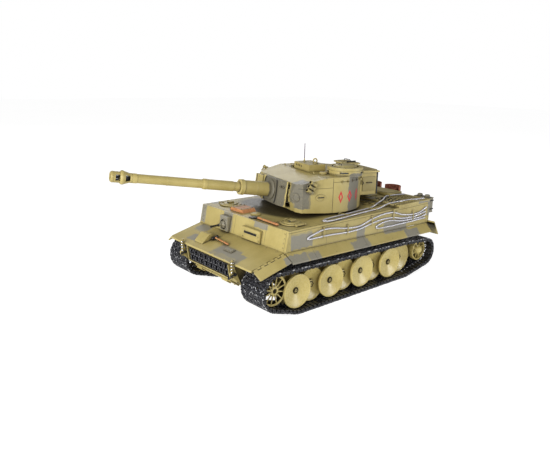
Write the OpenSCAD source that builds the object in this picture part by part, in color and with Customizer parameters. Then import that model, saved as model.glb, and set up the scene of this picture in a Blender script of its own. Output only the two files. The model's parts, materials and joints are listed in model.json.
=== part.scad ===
/* [Overall] */
// Where the turret ring's centre stands along the hull
turret_x = -56; // [-58:0.5:-54]
// Traverse of the turret as it is stored, negative towards the right side
turret_yaw = -13.8; // [-20:0.1:20]
// Elevation of the gun as it is stored
gun_elev = 8.2; // [2:0.1:12]

/* [Hull] */
// Half width of the lower hull tub
tub_half = 58; // [56:0.5:59]
// Height of the belly above the ground
belly_z = 29; // [28:0.5:30]
// Half width of the superstructure
hull_half = 98; // [96:0.5:99]
// Height of the deck's top face
deck_z = 111.5; // [110:0.5:113]
// Height of the pannier floor at the front
pannier_z = 84.2; // [83:0.2:86]
// How far the pannier floor and the fenders fall towards the rear
fender_drop = 7.2; // [5:0.2:8]
// Rear face of the hull
rear_x = -223.5; // [-225:0.5:-222]
// Top edge of the driver's plate
plate_top_x = 81; // [80:0.5:82]
// Bottom edge of the driver's plate
plate_bottom_x = 86.5; // [86:0.5:88]
// Front edge of the glacis
glacis_x = 139.5; // [138:0.5:141]
// Height of the glacis' front edge
glacis_z = 70.7; // [70:0.1:72]

/* [Running gear] */
// Radius of the road wheels
wheel_r = 23.7; // [23:0.1:23.8]
// Distance between two neighbouring axles
axle_pitch = 32.2; // [32:0.1:33]
// Foremost axle
axle_x = 68; // [67:0.5:69]
// Height of the axles
axle_z = 29.8; // [29.5:0.1:30]
// Sprocket centre along the hull
sprocket_x = 106.5; // [105:0.5:108]
// Sprocket centre height
sprocket_z = 38.5; // [38:0.5:40]
// Idler centre along the hull
idler_x = -208.5; // [-210:0.5:-207]
// Idler centre height
idler_z = 32.5; // [32:0.5:34]
// Track width
track_w = 45.3; // [44:0.1:46]
// Inner edge of the track
track_y = 65.5; // [65:0.1:66]

/* [Gun and turret] */
// Trunnion ahead of the ring's centre
trunnion_x = 62; // [61:0.5:63]
// Trunnion height
trunnion_z = 138.3; // [138:0.1:139]
// Muzzle ahead of the ring's centre, measured along the bore
muzzle_x = 306.3; // [300:0.1:312]
// Radius of the rounded rear of the turret
turret_r = 72; // [71:0.5:73]
// Height of the turret roof
roof_z = 164.9; // [164:0.1:166]

/* [Hidden] */
$fn = 64;
wheel_nodes = [for (s = ["left", "right"]) for (i = [1:8]) str("wheel_", s, "_", i)];

sand = [0.72, 0.66, 0.44];
grey = [0.58, 0.58, 0.55];
rust = [0.62, 0.33, 0.2];
steel = [0.78, 0.78, 0.8];
dark = [0.13, 0.13, 0.15];

wall = 2;
tub_top = 92;
bay_z = deck_z + 4;             // top of the raised deck over the engine
gap = 0.3;                      // between pieces that move past each other
fit = 0.06;                     // radial clearance of a running fit
last_axle = axle_x - 7 * axle_pitch;
fender_tilt = atan(fender_drop / (plate_bottom_x - rear_x));
glacis_tilt = atan((pannier_z - glacis_z) / (glacis_x - plate_bottom_x));
fender_y = 12;                  // how far a fender stands out
skirt_fall = 11.5;              // how far a fender falls over that width
ring_r = 46;                    // turret ring opening
ring_hole = 40;
track_y1 = track_y + track_w;

// Cylinder along Y from y0 to y1, centred on x, z
module cyl_y(x, z, r, y0, y1) {
    translate([x, y0, z]) rotate([-90, 0, 0]) cylinder(r = r, h = y1 - y0);
}

// Prism along Y of an outline given in x, z
module prism_y(pts, y0, y1) {
    translate([0, y1, 0]) rotate([90, 0, 0]) linear_extrude(y1 - y0) polygon(pts);
}

// Prism along X of an outline given in y, z
module prism_x(pts, x0, x1) {
    translate([x0, 0, 0]) rotate([90, 0, 90]) linear_extrude(x1 - x0) polygon(pts);
}

// Box between two corners
module box(a, b) {
    translate(a) cube(b - a);
}

module side(s) {
    if (s > 0) children();
    else mirror([0, 1, 0]) children();
}

module on_turret() {
    translate([turret_x, 0, 0]) rotate([0, 0, turret_yaw]) children();
}

// The gun's own frame: origin on the trunnion, +X along the bore
module on_gun() {
    on_turret() translate([trunnion_x, 0, trunnion_z]) rotate([0, -gun_elev, 0]) children();
}

// Height of the driver's plate line and of the glacis at a place along the hull
function plate_x(z) = plate_bottom_x - (z - pannier_z) * (plate_bottom_x - plate_top_x) / (deck_z - pannier_z);
function glacis_h(x) = glacis_z + (glacis_x - x) * tan(glacis_tilt);

// ---------------------------------------------------------------- hull

nose_top_x = 137.5;
glacis_t = 2.5;
ball_x = 87.5;
ball_y = -32;
ball_z = 95;

module lower_hull() color(sand) {
    outer = [[rear_x, tub_top], [rear_x, 60], [-214, belly_z], [113, belly_z], [133, 43],
        [nose_top_x, glacis_h(nose_top_x) - glacis_t], [plate_bottom_x, pannier_z - glacis_t],
        [78, pannier_z - 1], [78, tub_top]];
    inner = [[rear_x + wall, tub_top + 1], [rear_x + wall, 61], [-213, belly_z + wall],
        [112, belly_z + wall], [131, 44], [135, 66.5], [84, 79.3], [76, 81], [76, tub_top + 1]];
    difference() {
        prism_y(outer, -tub_half, tub_half);
        prism_y(inner, -tub_half + wall, tub_half - wall);
        cyl_y(sprocket_x, sprocket_z, 3 + fit, -60, 60);
        cyl_y(idler_x, idler_z + 4, 4, -60, 60);
        for (i = [0:7]) cyl_y(axle_x - i * axle_pitch + 12, 40, 4, -60, 60);
    }
}

module upper_hull() color(sand) {
    rear_low = pannier_z - fender_drop;
    outer = [[rear_x, rear_low], [rear_x, deck_z], [plate_x(deck_z) - 4, deck_z], [plate_x(pannier_z) - 4, pannier_z]];
    inner = [[rear_x + wall, rear_low + wall], [rear_x + wall, deck_z - wall], [74, deck_z - wall],
        [79, pannier_z + wall]];
    difference() {
        prism_y(outer, -hull_half, hull_half);
        prism_y(inner, -hull_half + wall, hull_half - wall);
        box([rear_x - 1, -tub_half, 70], [90, tub_half, tub_top]);
        translate([turret_x, 0, 100]) cylinder(r = ring_r, h = 20);
        for (s = [-1, 1]) translate([hatch_x, s * hatch_y, 100]) cylinder(r = 14, h = 20);
        box([-214, -78, 100], [-134, 78, 120]);
    }
}

module front_plate() color(sand) {
    zs = [deck_z, pannier_z];
    difference() {
        union() {
            prism_y([[plate_x(zs[0]), zs[0]], [plate_x(zs[1]), zs[1]], [plate_x(zs[1]) - 4, zs[1]],
                [plate_x(zs[0]) - 4, zs[0]]], -hull_half, hull_half);
            // machine gun block
            box([82, ball_y - 9, 85.5], [89.5, ball_y + 9, 107]);
            // driver's visor block
            difference() {
                box([82, 9, 84.6], [88.5, 48, 101.5]);
                box([87.5, 16, 92], [90, 41, 95]);
            }
        }
        translate([60, ball_y, ball_z]) rotate([0, 90, 0]) cylinder(r = 7 + gap, h = 40);
        translate([ball_x, ball_y, ball_z - 12]) cylinder(r = 1.2 + fit, h = 21.6);
    }
}

module glacis() color(sand) {
    difference() {
        prism_y([[plate_bottom_x, pannier_z], [glacis_x, glacis_z], [glacis_x, glacis_z - glacis_t],
            [plate_bottom_x, pannier_z - glacis_t]], -hull_half, hull_half);
        for (s = [-1, 1]) side(s) hinge_line() translate([-4, -1.4 - gap, 0]) cube([8, 6, 60]);
    }
    for (s = [-1, 1]) side(s) hinge_line() {
        translate([0, 0, 1]) cylinder(r = 0.5, h = flap_len - 2);
        for (i = [0:3]) translate([0, 0, 1 + knuckle * (2 * i + 1) + gap]) {
            cylinder(r = 1.2, h = knuckle - 2 * gap);
            translate([-1.1, -3, 0]) cube([2.2, 3, knuckle - 2 * gap]);
        }
    }
}

// Frame of a mudguard's hinge: +Z runs forward along the hinge, +X is down, +Y out of the hull
flap_len = 52;
knuckle = (flap_len - 2) / 9;
module hinge_line() {
    translate([plate_bottom_x + 1, hull_half - 1.5, glacis_h(plate_bottom_x + 1) - 1.2])
        rotate([0, 90 + glacis_tilt, 0]) children();
}

module flap(s) color(sand) side(s) {
    difference() {
        union() {
            hinge_line() for (i = [0:4]) translate([0, 0, 1 + knuckle * 2 * i + gap]) {
                cylinder(r = 1.2, h = knuckle - 2 * gap);
                rotate([0, 0, -36]) translate([-0.7, 0.3, 0]) cube([1.4, 3, knuckle - 2 * gap]);
            }
            hinge_line() rotate([0, 0, -36]) translate([-0.7, 2, 0]) cube([1.4, 13.6, flap_len]);
        }
        hinge_line() translate([0, 0, -1]) cylinder(r = 0.5 + fit, h = flap_len + 2);
    }
}

module skirt(s) color(sand) side(s) {
    len = plate_bottom_x - rear_x - 4;
    translate([plate_bottom_x - 1, hull_half, pannier_z]) rotate([0, -fender_tilt, 0])
        difference() {
            prism_x([[0, 0], [fender_y, -skirt_fall], [fender_y, -skirt_fall - 1.6], [0, -2.2]], -len, 0);
            translate([0, 0, -20]) rotate([0, 0, 10]) cube([10, 20, 30]);
        }
}

module rear_plate() color(sand) {
    difference() {
        union() {
            box([rear_x - 3, -hull_half, pannier_z - fender_drop], [rear_x, hull_half, bay_z]);
            box([rear_x - 3, -tub_half, 60], [rear_x, tub_half, 90]);
        }
        for (s = [-1, 1]) side(s) box([rear_x - 4, 64, 70], [rear_x - 1, 113, 80.8]);
    }
}

module engine_deck() color(sand) {
    difference() {
        union() {
            box([-146, -80, deck_z], [-132, 80, deck_z + 2]);
            box([rear_x, -hull_half, deck_z], [-146, hull_half, bay_z]);
            box([-220, -38, bay_z - 1], [-186, 38, bay_z + 5]);
        }
        for (s = [-1, 1]) for (i = [0:14])
            translate([-216 + i * 4.5, s * 62 - 18, deck_z - 1]) cube([2.4, 36, 6]);
    }
}

// Two upright pipes, each in a rounded guard that is open towards the deck
guard_r = 15.5;
guard_x = rear_x - 1.9;
module exhausts() color(rust) {
    for (s = [-1, 1]) translate([guard_x, s * 20.5, 0]) {
        difference() {
            translate([0, 0, 84]) cylinder(r = guard_r, h = 41.5);
            translate([0, 0, 83]) cylinder(r = guard_r - 1.2, h = 44);
            translate([-1.1, -20, 83]) cube([40, 40, 44]);
        }
        translate([-6.6, 0, 82]) cylinder(r = 4.8, h = 38);
        translate([-6.6, 0, 117]) cylinder(r = 5.6, h = 3.4);
        for (z = [88, 103]) translate([-guard_r + 0.6, -2.5, z]) cube([guard_r - 1.7, 5, 5]);
    }
}

module air_filters() color(grey) {
    for (s = [-1, 1]) side(s) {
        difference() {
            box([rear_x - 15, 66, 92], [rear_x - 3, 96, 116.5]);
            for (i = [0:3]) box([rear_x - 16, 69 + i * 6.5, 95], [rear_x - 13.5, 72 + i * 6.5, 113.5]);
        }
        translate([rear_x - 9, 74, 116.5]) cylinder(r = 4.2, h = 4);
        translate([rear_x - 9, 88, 116.5]) cylinder(r = 4.2, h = 4);
    }
}

link_w = 11;
module spare_links() color(dark) {
    // the nose plate leans, so both rows lean with it
    lean = atan((nose_top_x - 133) / (glacis_h(nose_top_x) - glacis_t - 43));
    translate([133, 0, 43]) rotate([0, lean, 0])
        for (row = [0, 1]) for (i = [0:7]) {
            y = (i - 3.5) * (link_w + 0.6);
            translate([0, y - link_w / 2, 6.5 + row * 9]) cube([3, link_w, 8]);
            translate([2, y - 1.2, 7.5 + row * 9]) cube([3, 2.4, 6]);
        }
}

module tow_shackles() color(sand) {
    for (s = [-1, 1]) side(s) {
        difference() {
            prism_y([[128, 40], [141, 52], [142, 70], [141.5, 76], [139.7, 76], [139.7, 66], [137, 60]], 58, 60.5);
            cyl_y(138.2, 56, 2.6, 50, 70);
        }
        translate([141.5, 59.2, 56]) rotate([90, 0, 0]) rotate_extrude() translate([3.9, 0]) circle(r = 1.1, $fn = 24);
    }
}

// ---------------------------------------------------------------- cables held on the hull

cable_r = 1;
cable_y = hull_half + cable_r;
cable_z = deck_z + cable_r + 0.1;
bay_cable_z = bay_z + cable_r + 0.1;

// Tow cable on the deck: a bight beside the turret, both ends led to the rear
deck_cable = [[-219, 52, bay_cable_z], [-200, 47, bay_cable_z], [-184, 45, bay_cable_z], [-170, 50, bay_cable_z],
    [-154, 60, bay_cable_z], [-142, 64.5, bay_cable_z], [-130, 67.5, cable_z + 2.4], [-116, 70.5, cable_z],
    [-100, 74, cable_z], [-70, 77, cable_z], [-40, 79, cable_z],
    [-10, 81, cable_z], [4, 84, cable_z], [8, 88, cable_z], [4, 92, cable_z], [-10, 93, cable_z],
    [-40, 90, cable_z], [-70, 87, cable_z], [-100, 85, cable_z], [-116, 83.5, cable_z], [-130, 82.2, cable_z + 2.4],
    [-142, 82, bay_cable_z], [-155, 82.5, bay_cable_z], [-180, 83, bay_cable_z], [-200, 87, bay_cable_z],
    [-218, 91, bay_cable_z]];

// Long tow cable along the side: two runs and the eye that joins them
side_cable = [[-216, cable_y, 104], [-200, cable_y, 98], [-180, cable_y, 97], [-155, cable_y, 100],
    [-130, cable_y, 107], [-105, cable_y, 107.5], [-80, cable_y, 104], [-55, cable_y, 98], [-28, cable_y, 99],
    [0, cable_y, 103.5], [20, cable_y, 104.5], [38, cable_y, 101], [48, cable_y, 98], [46, cable_y, 95.6],
    [28, cable_y, 95.5], [4, cable_y, 95], [-28, cable_y, 93], [-55, cable_y, 93.5], [-80, cable_y, 97.5],
    [-105, cable_y, 100], [-130, cable_y, 99], [-155, cable_y, 94.5], [-185, cable_y, 93], [-214, cable_y, 97]];

// Short cable behind it
rear_cable = [[-216, cable_y, 92.6], [-200, cable_y, 89.5], [-175, cable_y, 89.6], [-150, cable_y, 91], [-125, cable_y, 95.2],
    [-104, cable_y, 94.5], [-92, cable_y, 91], [-97, cable_y, 87.6], [-120, cable_y, 86.6], [-150, cable_y, 86.2],
    [-180, cable_y, 86], [-214, cable_y, 86.6]];

function unit(v) = v / norm(v);
function heading(p, i) = unit(p[min(i + 1, len(p) - 1)] - p[max(i - 1, 0)]);
function ring_at(p, i, r, n) = let (t = heading(p, i), u = unit(cross(t, [0.02, 0.3, 1])), v = cross(t, u))
    [for (k = [0:n - 1]) p[i] + r * (cos(360 * k / n) * u + sin(360 * k / n) * v)];

// A round cord swept along a route
module sweep(p, r, n = 8) {
    rows = len(p);
    pts = [for (i = [0:rows - 1]) each ring_at(p, i, r, n)];
    sides = [for (i = [0:rows - 2]) for (k = [0:n - 1])
        [i * n + k, i * n + (k + 1) % n, (i + 1) * n + (k + 1) % n, (i + 1) * n + k]];
    ends = [[for (k = [n - 1:-1:0]) k], [for (k = [0:n - 1]) (rows - 1) * n + k]];
    polyhedron(points = pts, faces = concat(sides, ends));
}

module tow_cables() color(steel) {
    sweep(deck_cable, cable_r);
    sweep(side_cable, cable_r);
    sweep(rear_cable, cable_r);
}

module cable_clips() color(sand) {
    // saddles on the side, one over each pair of runs
    for (c = [[-28, 96], [20, 99.5], [-80, 100.8], [-130, 103], [-180, 95]]) {
        box([c[0] - 1.5, hull_half, c[1] + 7.2], [c[0] + 1.5, hull_half + 3, c[1] + 8.8]);
        box([c[0] - 1.5, hull_half + 2.1, c[1] - 7], [c[0] + 1.5, hull_half + 3, c[1] + 8]);
    }
    for (x = [-40, -100]) {
        box([x - 1.5, 70.8, deck_z], [x + 1.5, 72.4, deck_z + 3.2]);
        box([x - 1.5, 70.8, deck_z + 2.3], [x + 1.5, 93, deck_z + 3.2]);
    }
}

module headlamp() color(sand) {
    hz = glacis_h(118);
    translate([118, -38, hz]) rotate([0, glacis_tilt, 0])
        prism_y([[-10, 0], [12, 0], [10, 2], [-3, 9], [-9, 7]], -10, 10);
}

module tools() {
    // sledge hammer on the glacis
    color(rust) translate([111, -24, glacis_h(111) + 1.6]) rotate([0, glacis_tilt, 0]) rotate([-90, 0, 12])
        cylinder(r = 1.5, h = 36);
    color(dark) translate([111, -28, glacis_h(111)]) rotate([0, glacis_tilt, 0]) rotate([0, 0, 12])
        translate([0, 0, 0.1]) cube([7, 4, 4.4]);
    // wooden jack block on the deck
    color(rust) prism_x([[-45, deck_z], [-12, deck_z], [-15, deck_z + 5], [-42, deck_z + 5]], 46, 70);
    // shovel across the deck's front edge
    color(rust) translate([72, 24, deck_z + 1.7]) rotate([-90, 0, 3]) cylinder(r = 1.6, h = 44);
    color(dark) box([64, 8, deck_z], [78, 24, deck_z + 1.6]);
    // spare plate on the glacis
    color(sand) translate([120, 24, glacis_h(120)]) rotate([0, glacis_tilt, 0])
        translate([-4, -9, 0]) cube([8, 18, 1.6]);
}

// ---------------------------------------------------------------- hatches and machine gun

hatch_x = 50;
hatch_y = 69;
hatch_r = 16.5;

module hatch(s) color(sand) side(s) {
    translate([hatch_x, hatch_y, deck_z + gap]) {
        cylinder(r = hatch_r, h = 1.8);
        cylinder(r = 11, h = 2.6);
        translate([-5, -3, 2.5]) cube([10, 6, 3]);
    }
    translate([hatch_x - 6, hatch_y + hatch_r + 0.5, deck_z + gap + 1.4]) rotate([0, 90, 0]) cylinder(r = 1.4, h = 12);
    box([hatch_x - 5, hatch_y + 14, deck_z + gap], [hatch_x + 5, hatch_y + 17, deck_z + gap + 1.8]);
}

module hull_mg() color(dark) translate([ball_x, ball_y, ball_z]) {
    // ball with the upright pin that it swings on
    rotate_extrude() polygon([[0, -9], [1.2, -9], [1.2, -6.8], [3.5, -6], [5.4, -4.4], [6.6, -2.5], [6.6, 2.5],
        [5.4, 4.4], [3.5, 6], [1.2, 6.8], [1.2, 9.5], [0, 9.5]]);
    rotate([0, 90, 0]) cylinder(r = 2.2, h = 12);
    rotate([0, 90, 0]) cylinder(r = 1.3, h = 25);
}

module rear_flap(s) color(sand) side(s) {
    translate([rear_x - 2.6, 0, 79.2]) {
        cyl_y(0, 0, 1.2, 66, 110);
        rotate([0, 32, 0]) translate([-0.8, 66, -26]) cube([1.6, 44, 26]);
    }
}

// ---------------------------------------------------------------- running gear

belt_t = 5.7;
belt_wheel_r = axle_z - belt_t;         // so that the lower run lies on the ground
belt_sprocket_r = 21.3;
belt_idler_r = 17.5;
groove_y = [73, 95.3];                    // where the sprocket's teeth run
groove_w = 5;
link_count = 103;

// The circles that the belt runs round, in order: sprocket, last wheel, idler, last wheel, first wheel
stops = [[sprocket_x, sprocket_z, belt_sprocket_r], [last_axle, axle_z, belt_wheel_r],
    [idler_x, idler_z, belt_idler_r], [last_axle, axle_z, belt_wheel_r], [axle_x, axle_z, belt_wheel_r]];
n_stops = len(stops);

// Direction of the straight run's outward normal between two circles
function run_normal(a, b) = let (d = [b[0] - a[0], b[1] - a[1]])
    atan2(d[1], d[0]) - acos((a[2] - b[2]) / norm(d));
function enter(i) = run_normal(stops[(i + n_stops - 1) % n_stops], stops[i]);
function leave(i) = run_normal(stops[i], stops[(i + 1) % n_stops]);
function arc_turn(i) = (leave(i) - enter(i) + 720) % 360;
function on_arc(i, a, off) = [stops[i][0] + (stops[i][2] + off) * cos(a), stops[i][1] + (stops[i][2] + off) * sin(a)];
function belt_loop(off) = [for (i = [0:n_stops - 1]) let (steps = max(1, ceil(arc_turn(i) / 9)))
    for (k = [0:steps]) on_arc(i, enter(i) + arc_turn(i) * k / steps, off)];

// Lengths along the belt's middle line
function arc_len(i, off) = arc_turn(i) * PI / 180 * (stops[i][2] + off);
function run_len(i) = let (a = stops[i], b = stops[(i + 1) % n_stops])
    norm(on_arc((i + 1) % n_stops, leave(i), 0) - on_arc(i, leave(i), 0));
function total(i, off) = i < 0 ? 0 : total(i - 1, off) + arc_len(i, off) + run_len(i);
mid = 2.6;
belt_len = total(n_stops - 1, mid);
link_pitch = belt_len / link_count;

// Point at distance s along the middle line, standing off by d from it
function belt_at(s, d, i = 0) = let (al = arc_len(i, mid), rl = run_len(i))
    s <= al ? on_arc(i, enter(i) + arc_turn(i) * s / al, mid + d)
    : s <= al + rl || i == n_stops - 1 ? let (f = (s - al) / rl, a = leave(i), p = on_arc(i, a, mid + d),
        q = on_arc((i + 1) % n_stops, a, mid + d)) p + (q - p) * min(f, 1)
    : belt_at(s - al - rl, d, i + 1);

// Outline of the belt's outside: each link is a raised pad with a lower gap behind it
pad = belt_t - mid;
gap_depth = 1.3;
belt_outside = [for (k = [0:link_count - 1]) let (s = k * link_pitch)
    each [belt_at(s + 0.1 * link_pitch, pad - gap_depth), belt_at(s + 0.16 * link_pitch, pad),
        belt_at(s + 0.78 * link_pitch, pad), belt_at(s + 0.84 * link_pitch, pad - gap_depth)]];

module track(s) color(dark) side(s) {
    difference() {
        prism_y(belt_outside, track_y, track_y1);
        prism_y(belt_loop(0), track_y - 1, track_y1 + 1);
        for (y = groove_y) prism_y(belt_loop(3), y - groove_w / 2, y + groove_w / 2);
    }
}

// Revolves an outline given in radius, height about a line along Y through x, z
module turned(x, z, pts) {
    translate([x, 0, z]) rotate([-90, 0, 0]) rotate_extrude() polygon(pts);
}

// Outline of a dished disc with a rim, whose outer face is at y
function disc(y, r) = [[0, y - 0.8], [5.5, y - 0.8], [7.2, y - 3.4], [r - 3, y - 1.2], [r - 2.2, y], [r - 0.6, y],
    [r, y - 0.6], [r, y - 5.4], [r - 0.6, y - 6], [r - 2.6, y - 6], [r - 3, y - 3.6], [7.2, y - 6], [0, y - 6]];

axle_r = 2.5;
hub_y = 66;
row_y = [104.2, 96.6, 89, 81.4];        // outer faces of the four rows of discs

module wheel(x, outer, inner) color(sand) {
    difference() {
        union() {
            turned(x, axle_z, disc(outer, wheel_r));
            turned(x, axle_z, disc(inner, wheel_r));
            turned(x, axle_z, [[0, hub_y], [6.6, hub_y], [6.6, outer - 3], [0, outer - 3]]);
        }
        cyl_y(x, axle_z, axle_r + fit, hub_y - 1, outer - 2.5);
    }
}

module wheel_set(s, i) side(s) {
    x = axle_x - (i - 1) * axle_pitch;
    if (i % 2 == 1) wheel(x, row_y[0], row_y[2]);
    else wheel(x, row_y[1], row_y[3]);
}

// One spoked ring with windows between its spokes
module windows(x, z, r0, r1, count, y0, y1, share = 0.62) {
    a = 360 / count * share / 2;
    for (k = [0:count - 1]) translate([x, 0, z]) rotate([0, -360 / count * (k + 0.5), 0])
        prism_y([[r0 * cos(a), -r0 * sin(a)], [r1 * cos(a), -r1 * sin(a)], [r1, 0], [r1 * cos(a), r1 * sin(a)],
            [r0 * cos(a), r0 * sin(a)]], y0, y1);
}

teeth = 20;
tooth_r = 23.7;
module tooth_ring(y) {
    outline = [for (k = [0:teeth - 1]) let (a = 360 / teeth * k, w = 360 / teeth)
        each [[20.6 * cos(a - 0.32 * w), 20.6 * sin(a - 0.32 * w)], [tooth_r * cos(a - 0.12 * w), tooth_r * sin(a - 0.12 * w)],
            [tooth_r * cos(a + 0.12 * w), tooth_r * sin(a + 0.12 * w)], [20.6 * cos(a + 0.32 * w), 20.6 * sin(a + 0.32 * w)]]];
    translate([sprocket_x, 0, sprocket_z]) prism_y(outline, y - 1.6, y + 1.6);
}

module sprocket(s) color(sand) side(s) {
    cyl_y(sprocket_x, sprocket_z, 3, 46, 67);
    difference() {
        union() {
            for (y = groove_y) tooth_ring(y);
            turned(sprocket_x, sprocket_z, [[0, 66], [8, 66], [8, 71], [20, 71], [20, 75], [7.5, 77], [7.5, 91.5], [20, 93.3],
                [20, 97.3], [9.5, 96.6], [9.5, 99], [6.5, 101], [0, 101]]);
        }
        windows(sprocket_x, sprocket_z, 10.5, 18.2, 12, 88, 100);
        windows(sprocket_x, sprocket_z, 10.5, 18.2, 12, 68, 79);
    }
}

module idler(s) color(sand) side(s) {
    r = 17;
    difference() {
        turned(idler_x, idler_z, [[0, 66], [6, 66], [6, 74], [r - 2.5, 74], [r - 2.5, 72], [r, 72], [r, 79], [r - 2.5, 79],
            [r - 2.5, 77], [6, 78.5], [6, 91], [r - 2.5, 92], [r - 2.5, 90], [r, 90], [r, 97], [r - 2.5, 97],
            [r - 2.5, 95.4], [7.4, 95.4], [6.6, 98.6], [4, 100.6], [0, 101.2]]);
        cyl_y(idler_x, idler_z, axle_r + fit, 65, 97);
        windows(idler_x, idler_z, 8.6, 13.4, 8, 88, 99, 0.6);
    }
}

module axle_arms() color(grey) for (s = [-1, 1]) side(s) {
    for (i = [0:7]) let (x = axle_x - i * axle_pitch) {
        cyl_y(x + 12, 40, 4, 53, 62.4);
        translate([x, 58.4, axle_z]) rotate([0, -atan(10.2 / 12), 0]) translate([0, 0, -3.5]) cube([15.7, 4, 7]);
        cyl_y(x, axle_z, 4, 58.4, 65.2);
        cyl_y(x, axle_z, axle_r, 60, i % 2 == 0 ? 101 : 93.6);
    }
    cyl_y(idler_x, idler_z + 4, 4, 53, 62.4);
    box([idler_x - 4, 58.4, idler_z - 3], [idler_x + 4, 62.4, idler_z + 8]);
    cyl_y(idler_x, idler_z, axle_r, 60, 96.4);
}

module drive_units() color(dark) for (s = [-1, 1]) side(s) {
    difference() {
        box([sprocket_x - 34, 18, 34], [sprocket_x + 8, 52, 62]);
        cyl_y(sprocket_x, sprocket_z, 3 + fit, 40, 60);
    }
    translate([sprocket_x - 68, 35, 47]) rotate([0, 90, 0]) cylinder(r = 13, h = 34);
    translate([sprocket_x - 72, 35, 47]) rotate([0, 90, 0]) cylinder(r = 3, h = 4);
}

module battery() color([0.2, 0.35, 0.6]) {
    box([-150, -34, 31], [-62, 34, 55]);
    box([-62, -8, 38], [-54, 8, 48]);
}

module electronics() {
    color([0.1, 0.4, 0.2]) box([-44, -30, 31], [16, 30, 33]);
    color(dark) for (i = [0:3]) box([-38 + i * 14, -20, 33], [-30 + i * 14, 14, 38]);
    // speaker behind the battery
    color(dark) translate([-186, 0, 31]) cylinder(r = 20, h = 12);
}

// ---------------------------------------------------------------- turret

cheek_y = 48.2;
side_x = 56.7;
side_y = 66;
bend_x = 21.1;
shell_floor = 114.2;
shell_t = 3;
nose_x = 66;                    // foremost point of the cheeks, at mid height
cheek_top_x = 62.3;
cheek_low_x = 62;
cheek_low_z = 116.9;
roof_front_z = 156.7;

function shell_plan(t) = let (bx = 9.6, by = sqrt(pow(turret_r - t, 2) - bx * bx))
    [[nose_x + 1, -cheek_y + t], [nose_x + 1, cheek_y - t], [side_x, side_y - t], [bend_x, turret_r - t],
        [bx, by], [-30, 20], [-30, -20], [bx, -by], [bend_x, -turret_r + t], [side_x, -side_y + t]];

// Side view of the shell inside a skin of thickness t
function shell_side(t) = [[-90, shell_floor + t], [8 - t, shell_floor + t], [cheek_low_x - t, cheek_low_z + t],
    [nose_x - t, trunnion_z + 1], [cheek_top_x - t, roof_front_z - t], [bend_x, roof_z - t], [-90, roof_z - t]];

module shell_form(t) intersection() {
    union() {
        linear_extrude(200) polygon(shell_plan(t));
        cylinder(r = turret_r - t, h = 200);
    }
    prism_y(shell_side(t), -90, 90);
}

module turret_shell() color(sand) on_turret() {
    difference() {
        union() {
            difference() {
                shell_form(0);
                shell_form(shell_t);
                box([40, -42.6, 120], [80, 42.6, 153.2]);
                translate([0, 0, 100]) cylinder(r = ring_hole, h = 30);
                translate([-27, 44.5, 150]) cylinder(r = 14, h = 30);
                box([-64, -13, 150], [-51, 9, 180]);
            }
            // ring that turns in the deck's opening
            difference() {
                translate([0, 0, 107]) cylinder(r = ring_r - gap, h = shell_floor - 107 + 1);
                translate([0, 0, 106]) cylinder(r = ring_hole, h = 30);
            }
            // two posts with the loader hatch's hinge pin between them
            for (y = [-10, 4]) {
                box([loader_x - 1.3, y, roof_z - 0.5], [loader_x + 1.3, y + 2, hatch_z + 1.1]);
                cyl_y(loader_x, hatch_z + 1.1, 1.3, y, y + 2);
            }
            cyl_y(loader_x, hatch_z + 1.1, 0.7, -9, 5);
            // ears that carry the gun's trunnions
            for (s = [-1, 1]) side(s) box([trunnion_x - 7, 39.5, trunnion_z - 9], [trunnion_x + 3, 46, trunnion_z + 9]);
        }
        cyl_y(trunnion_x, trunnion_z, 4 + fit, -45.5, 45.5);
    }
}

module roof_box() color(sand) on_turret() {
    difference() {
        box([-10, -28, roof_z], [18.5, 17, 175.5]);
        for (i = [0:3]) box([17.5, -23 + i * 5.2, 169.5], [19, -20.2 + i * 5.2, 172.5]);
    }
    translate([3, 8, 175.5]) cylinder(r = 4, h = 1.5);
    translate([3, 8, 180.2]) rotate([90, 0, 0]) rotate_extrude() translate([3.2, 0]) circle(r = 1, $fn = 24);
}

module antenna() color(steel) on_turret() {
    translate([8.3, -15, 175.5]) cylinder(r = 1.4, h = 2.5);
    translate([8.3, -15, 178]) cylinder(r = 0.5, h = 26.5);
}

cupola_x = -27;
cupola_y = 44.5;
cupola_r = 27;
lid_r = 17.6;
lid_hinge_z = roof_z + 11.4;
module cupola() color(sand) on_turret() translate([cupola_x, cupola_y, 0]) {
    difference() {
        union() {
            translate([0, 0, roof_z]) cylinder(r = cupola_r - 0.8, h = 9.6);
            translate([0, 0, roof_z + 2.4]) cylinder(r = cupola_r, h = 4.2);
        }
        translate([0, 0, roof_z - 1]) cylinder(r = 14, h = 20);
        for (k = [0:4]) rotate([0, 0, k * 72 + 54]) translate([cupola_r - 1.6, -6, roof_z + 3.5]) cube([4, 12, 2]);
    }
    // two ears with the lid's hinge pin between them
    for (y = [-7, 5]) translate([-lid_r - 4, y, roof_z + 8]) cube([4, 2, 5]);
    cyl_y(-lid_r - 2, lid_hinge_z, 0.7, -6, 6);
}

module cupola_lid() color(sand) on_turret() translate([cupola_x, cupola_y, 0]) difference() {
    translate([0, 0, roof_z + 9.6 + gap]) {
        cylinder(r = lid_r, h = 2);
        cylinder(r = lid_r - 3, h = 2.8);
        translate([-lid_r - 2, -4.5, 0.2]) cube([5, 9, 1.8]);
        translate([0, 0, gap]) cyl_y(-lid_r - 2, 1.2, 1.4, -4.5, 4.5);
    }
    cyl_y(-lid_r - 2, lid_hinge_z, 0.7 + fit, -5, 5);
}

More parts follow.
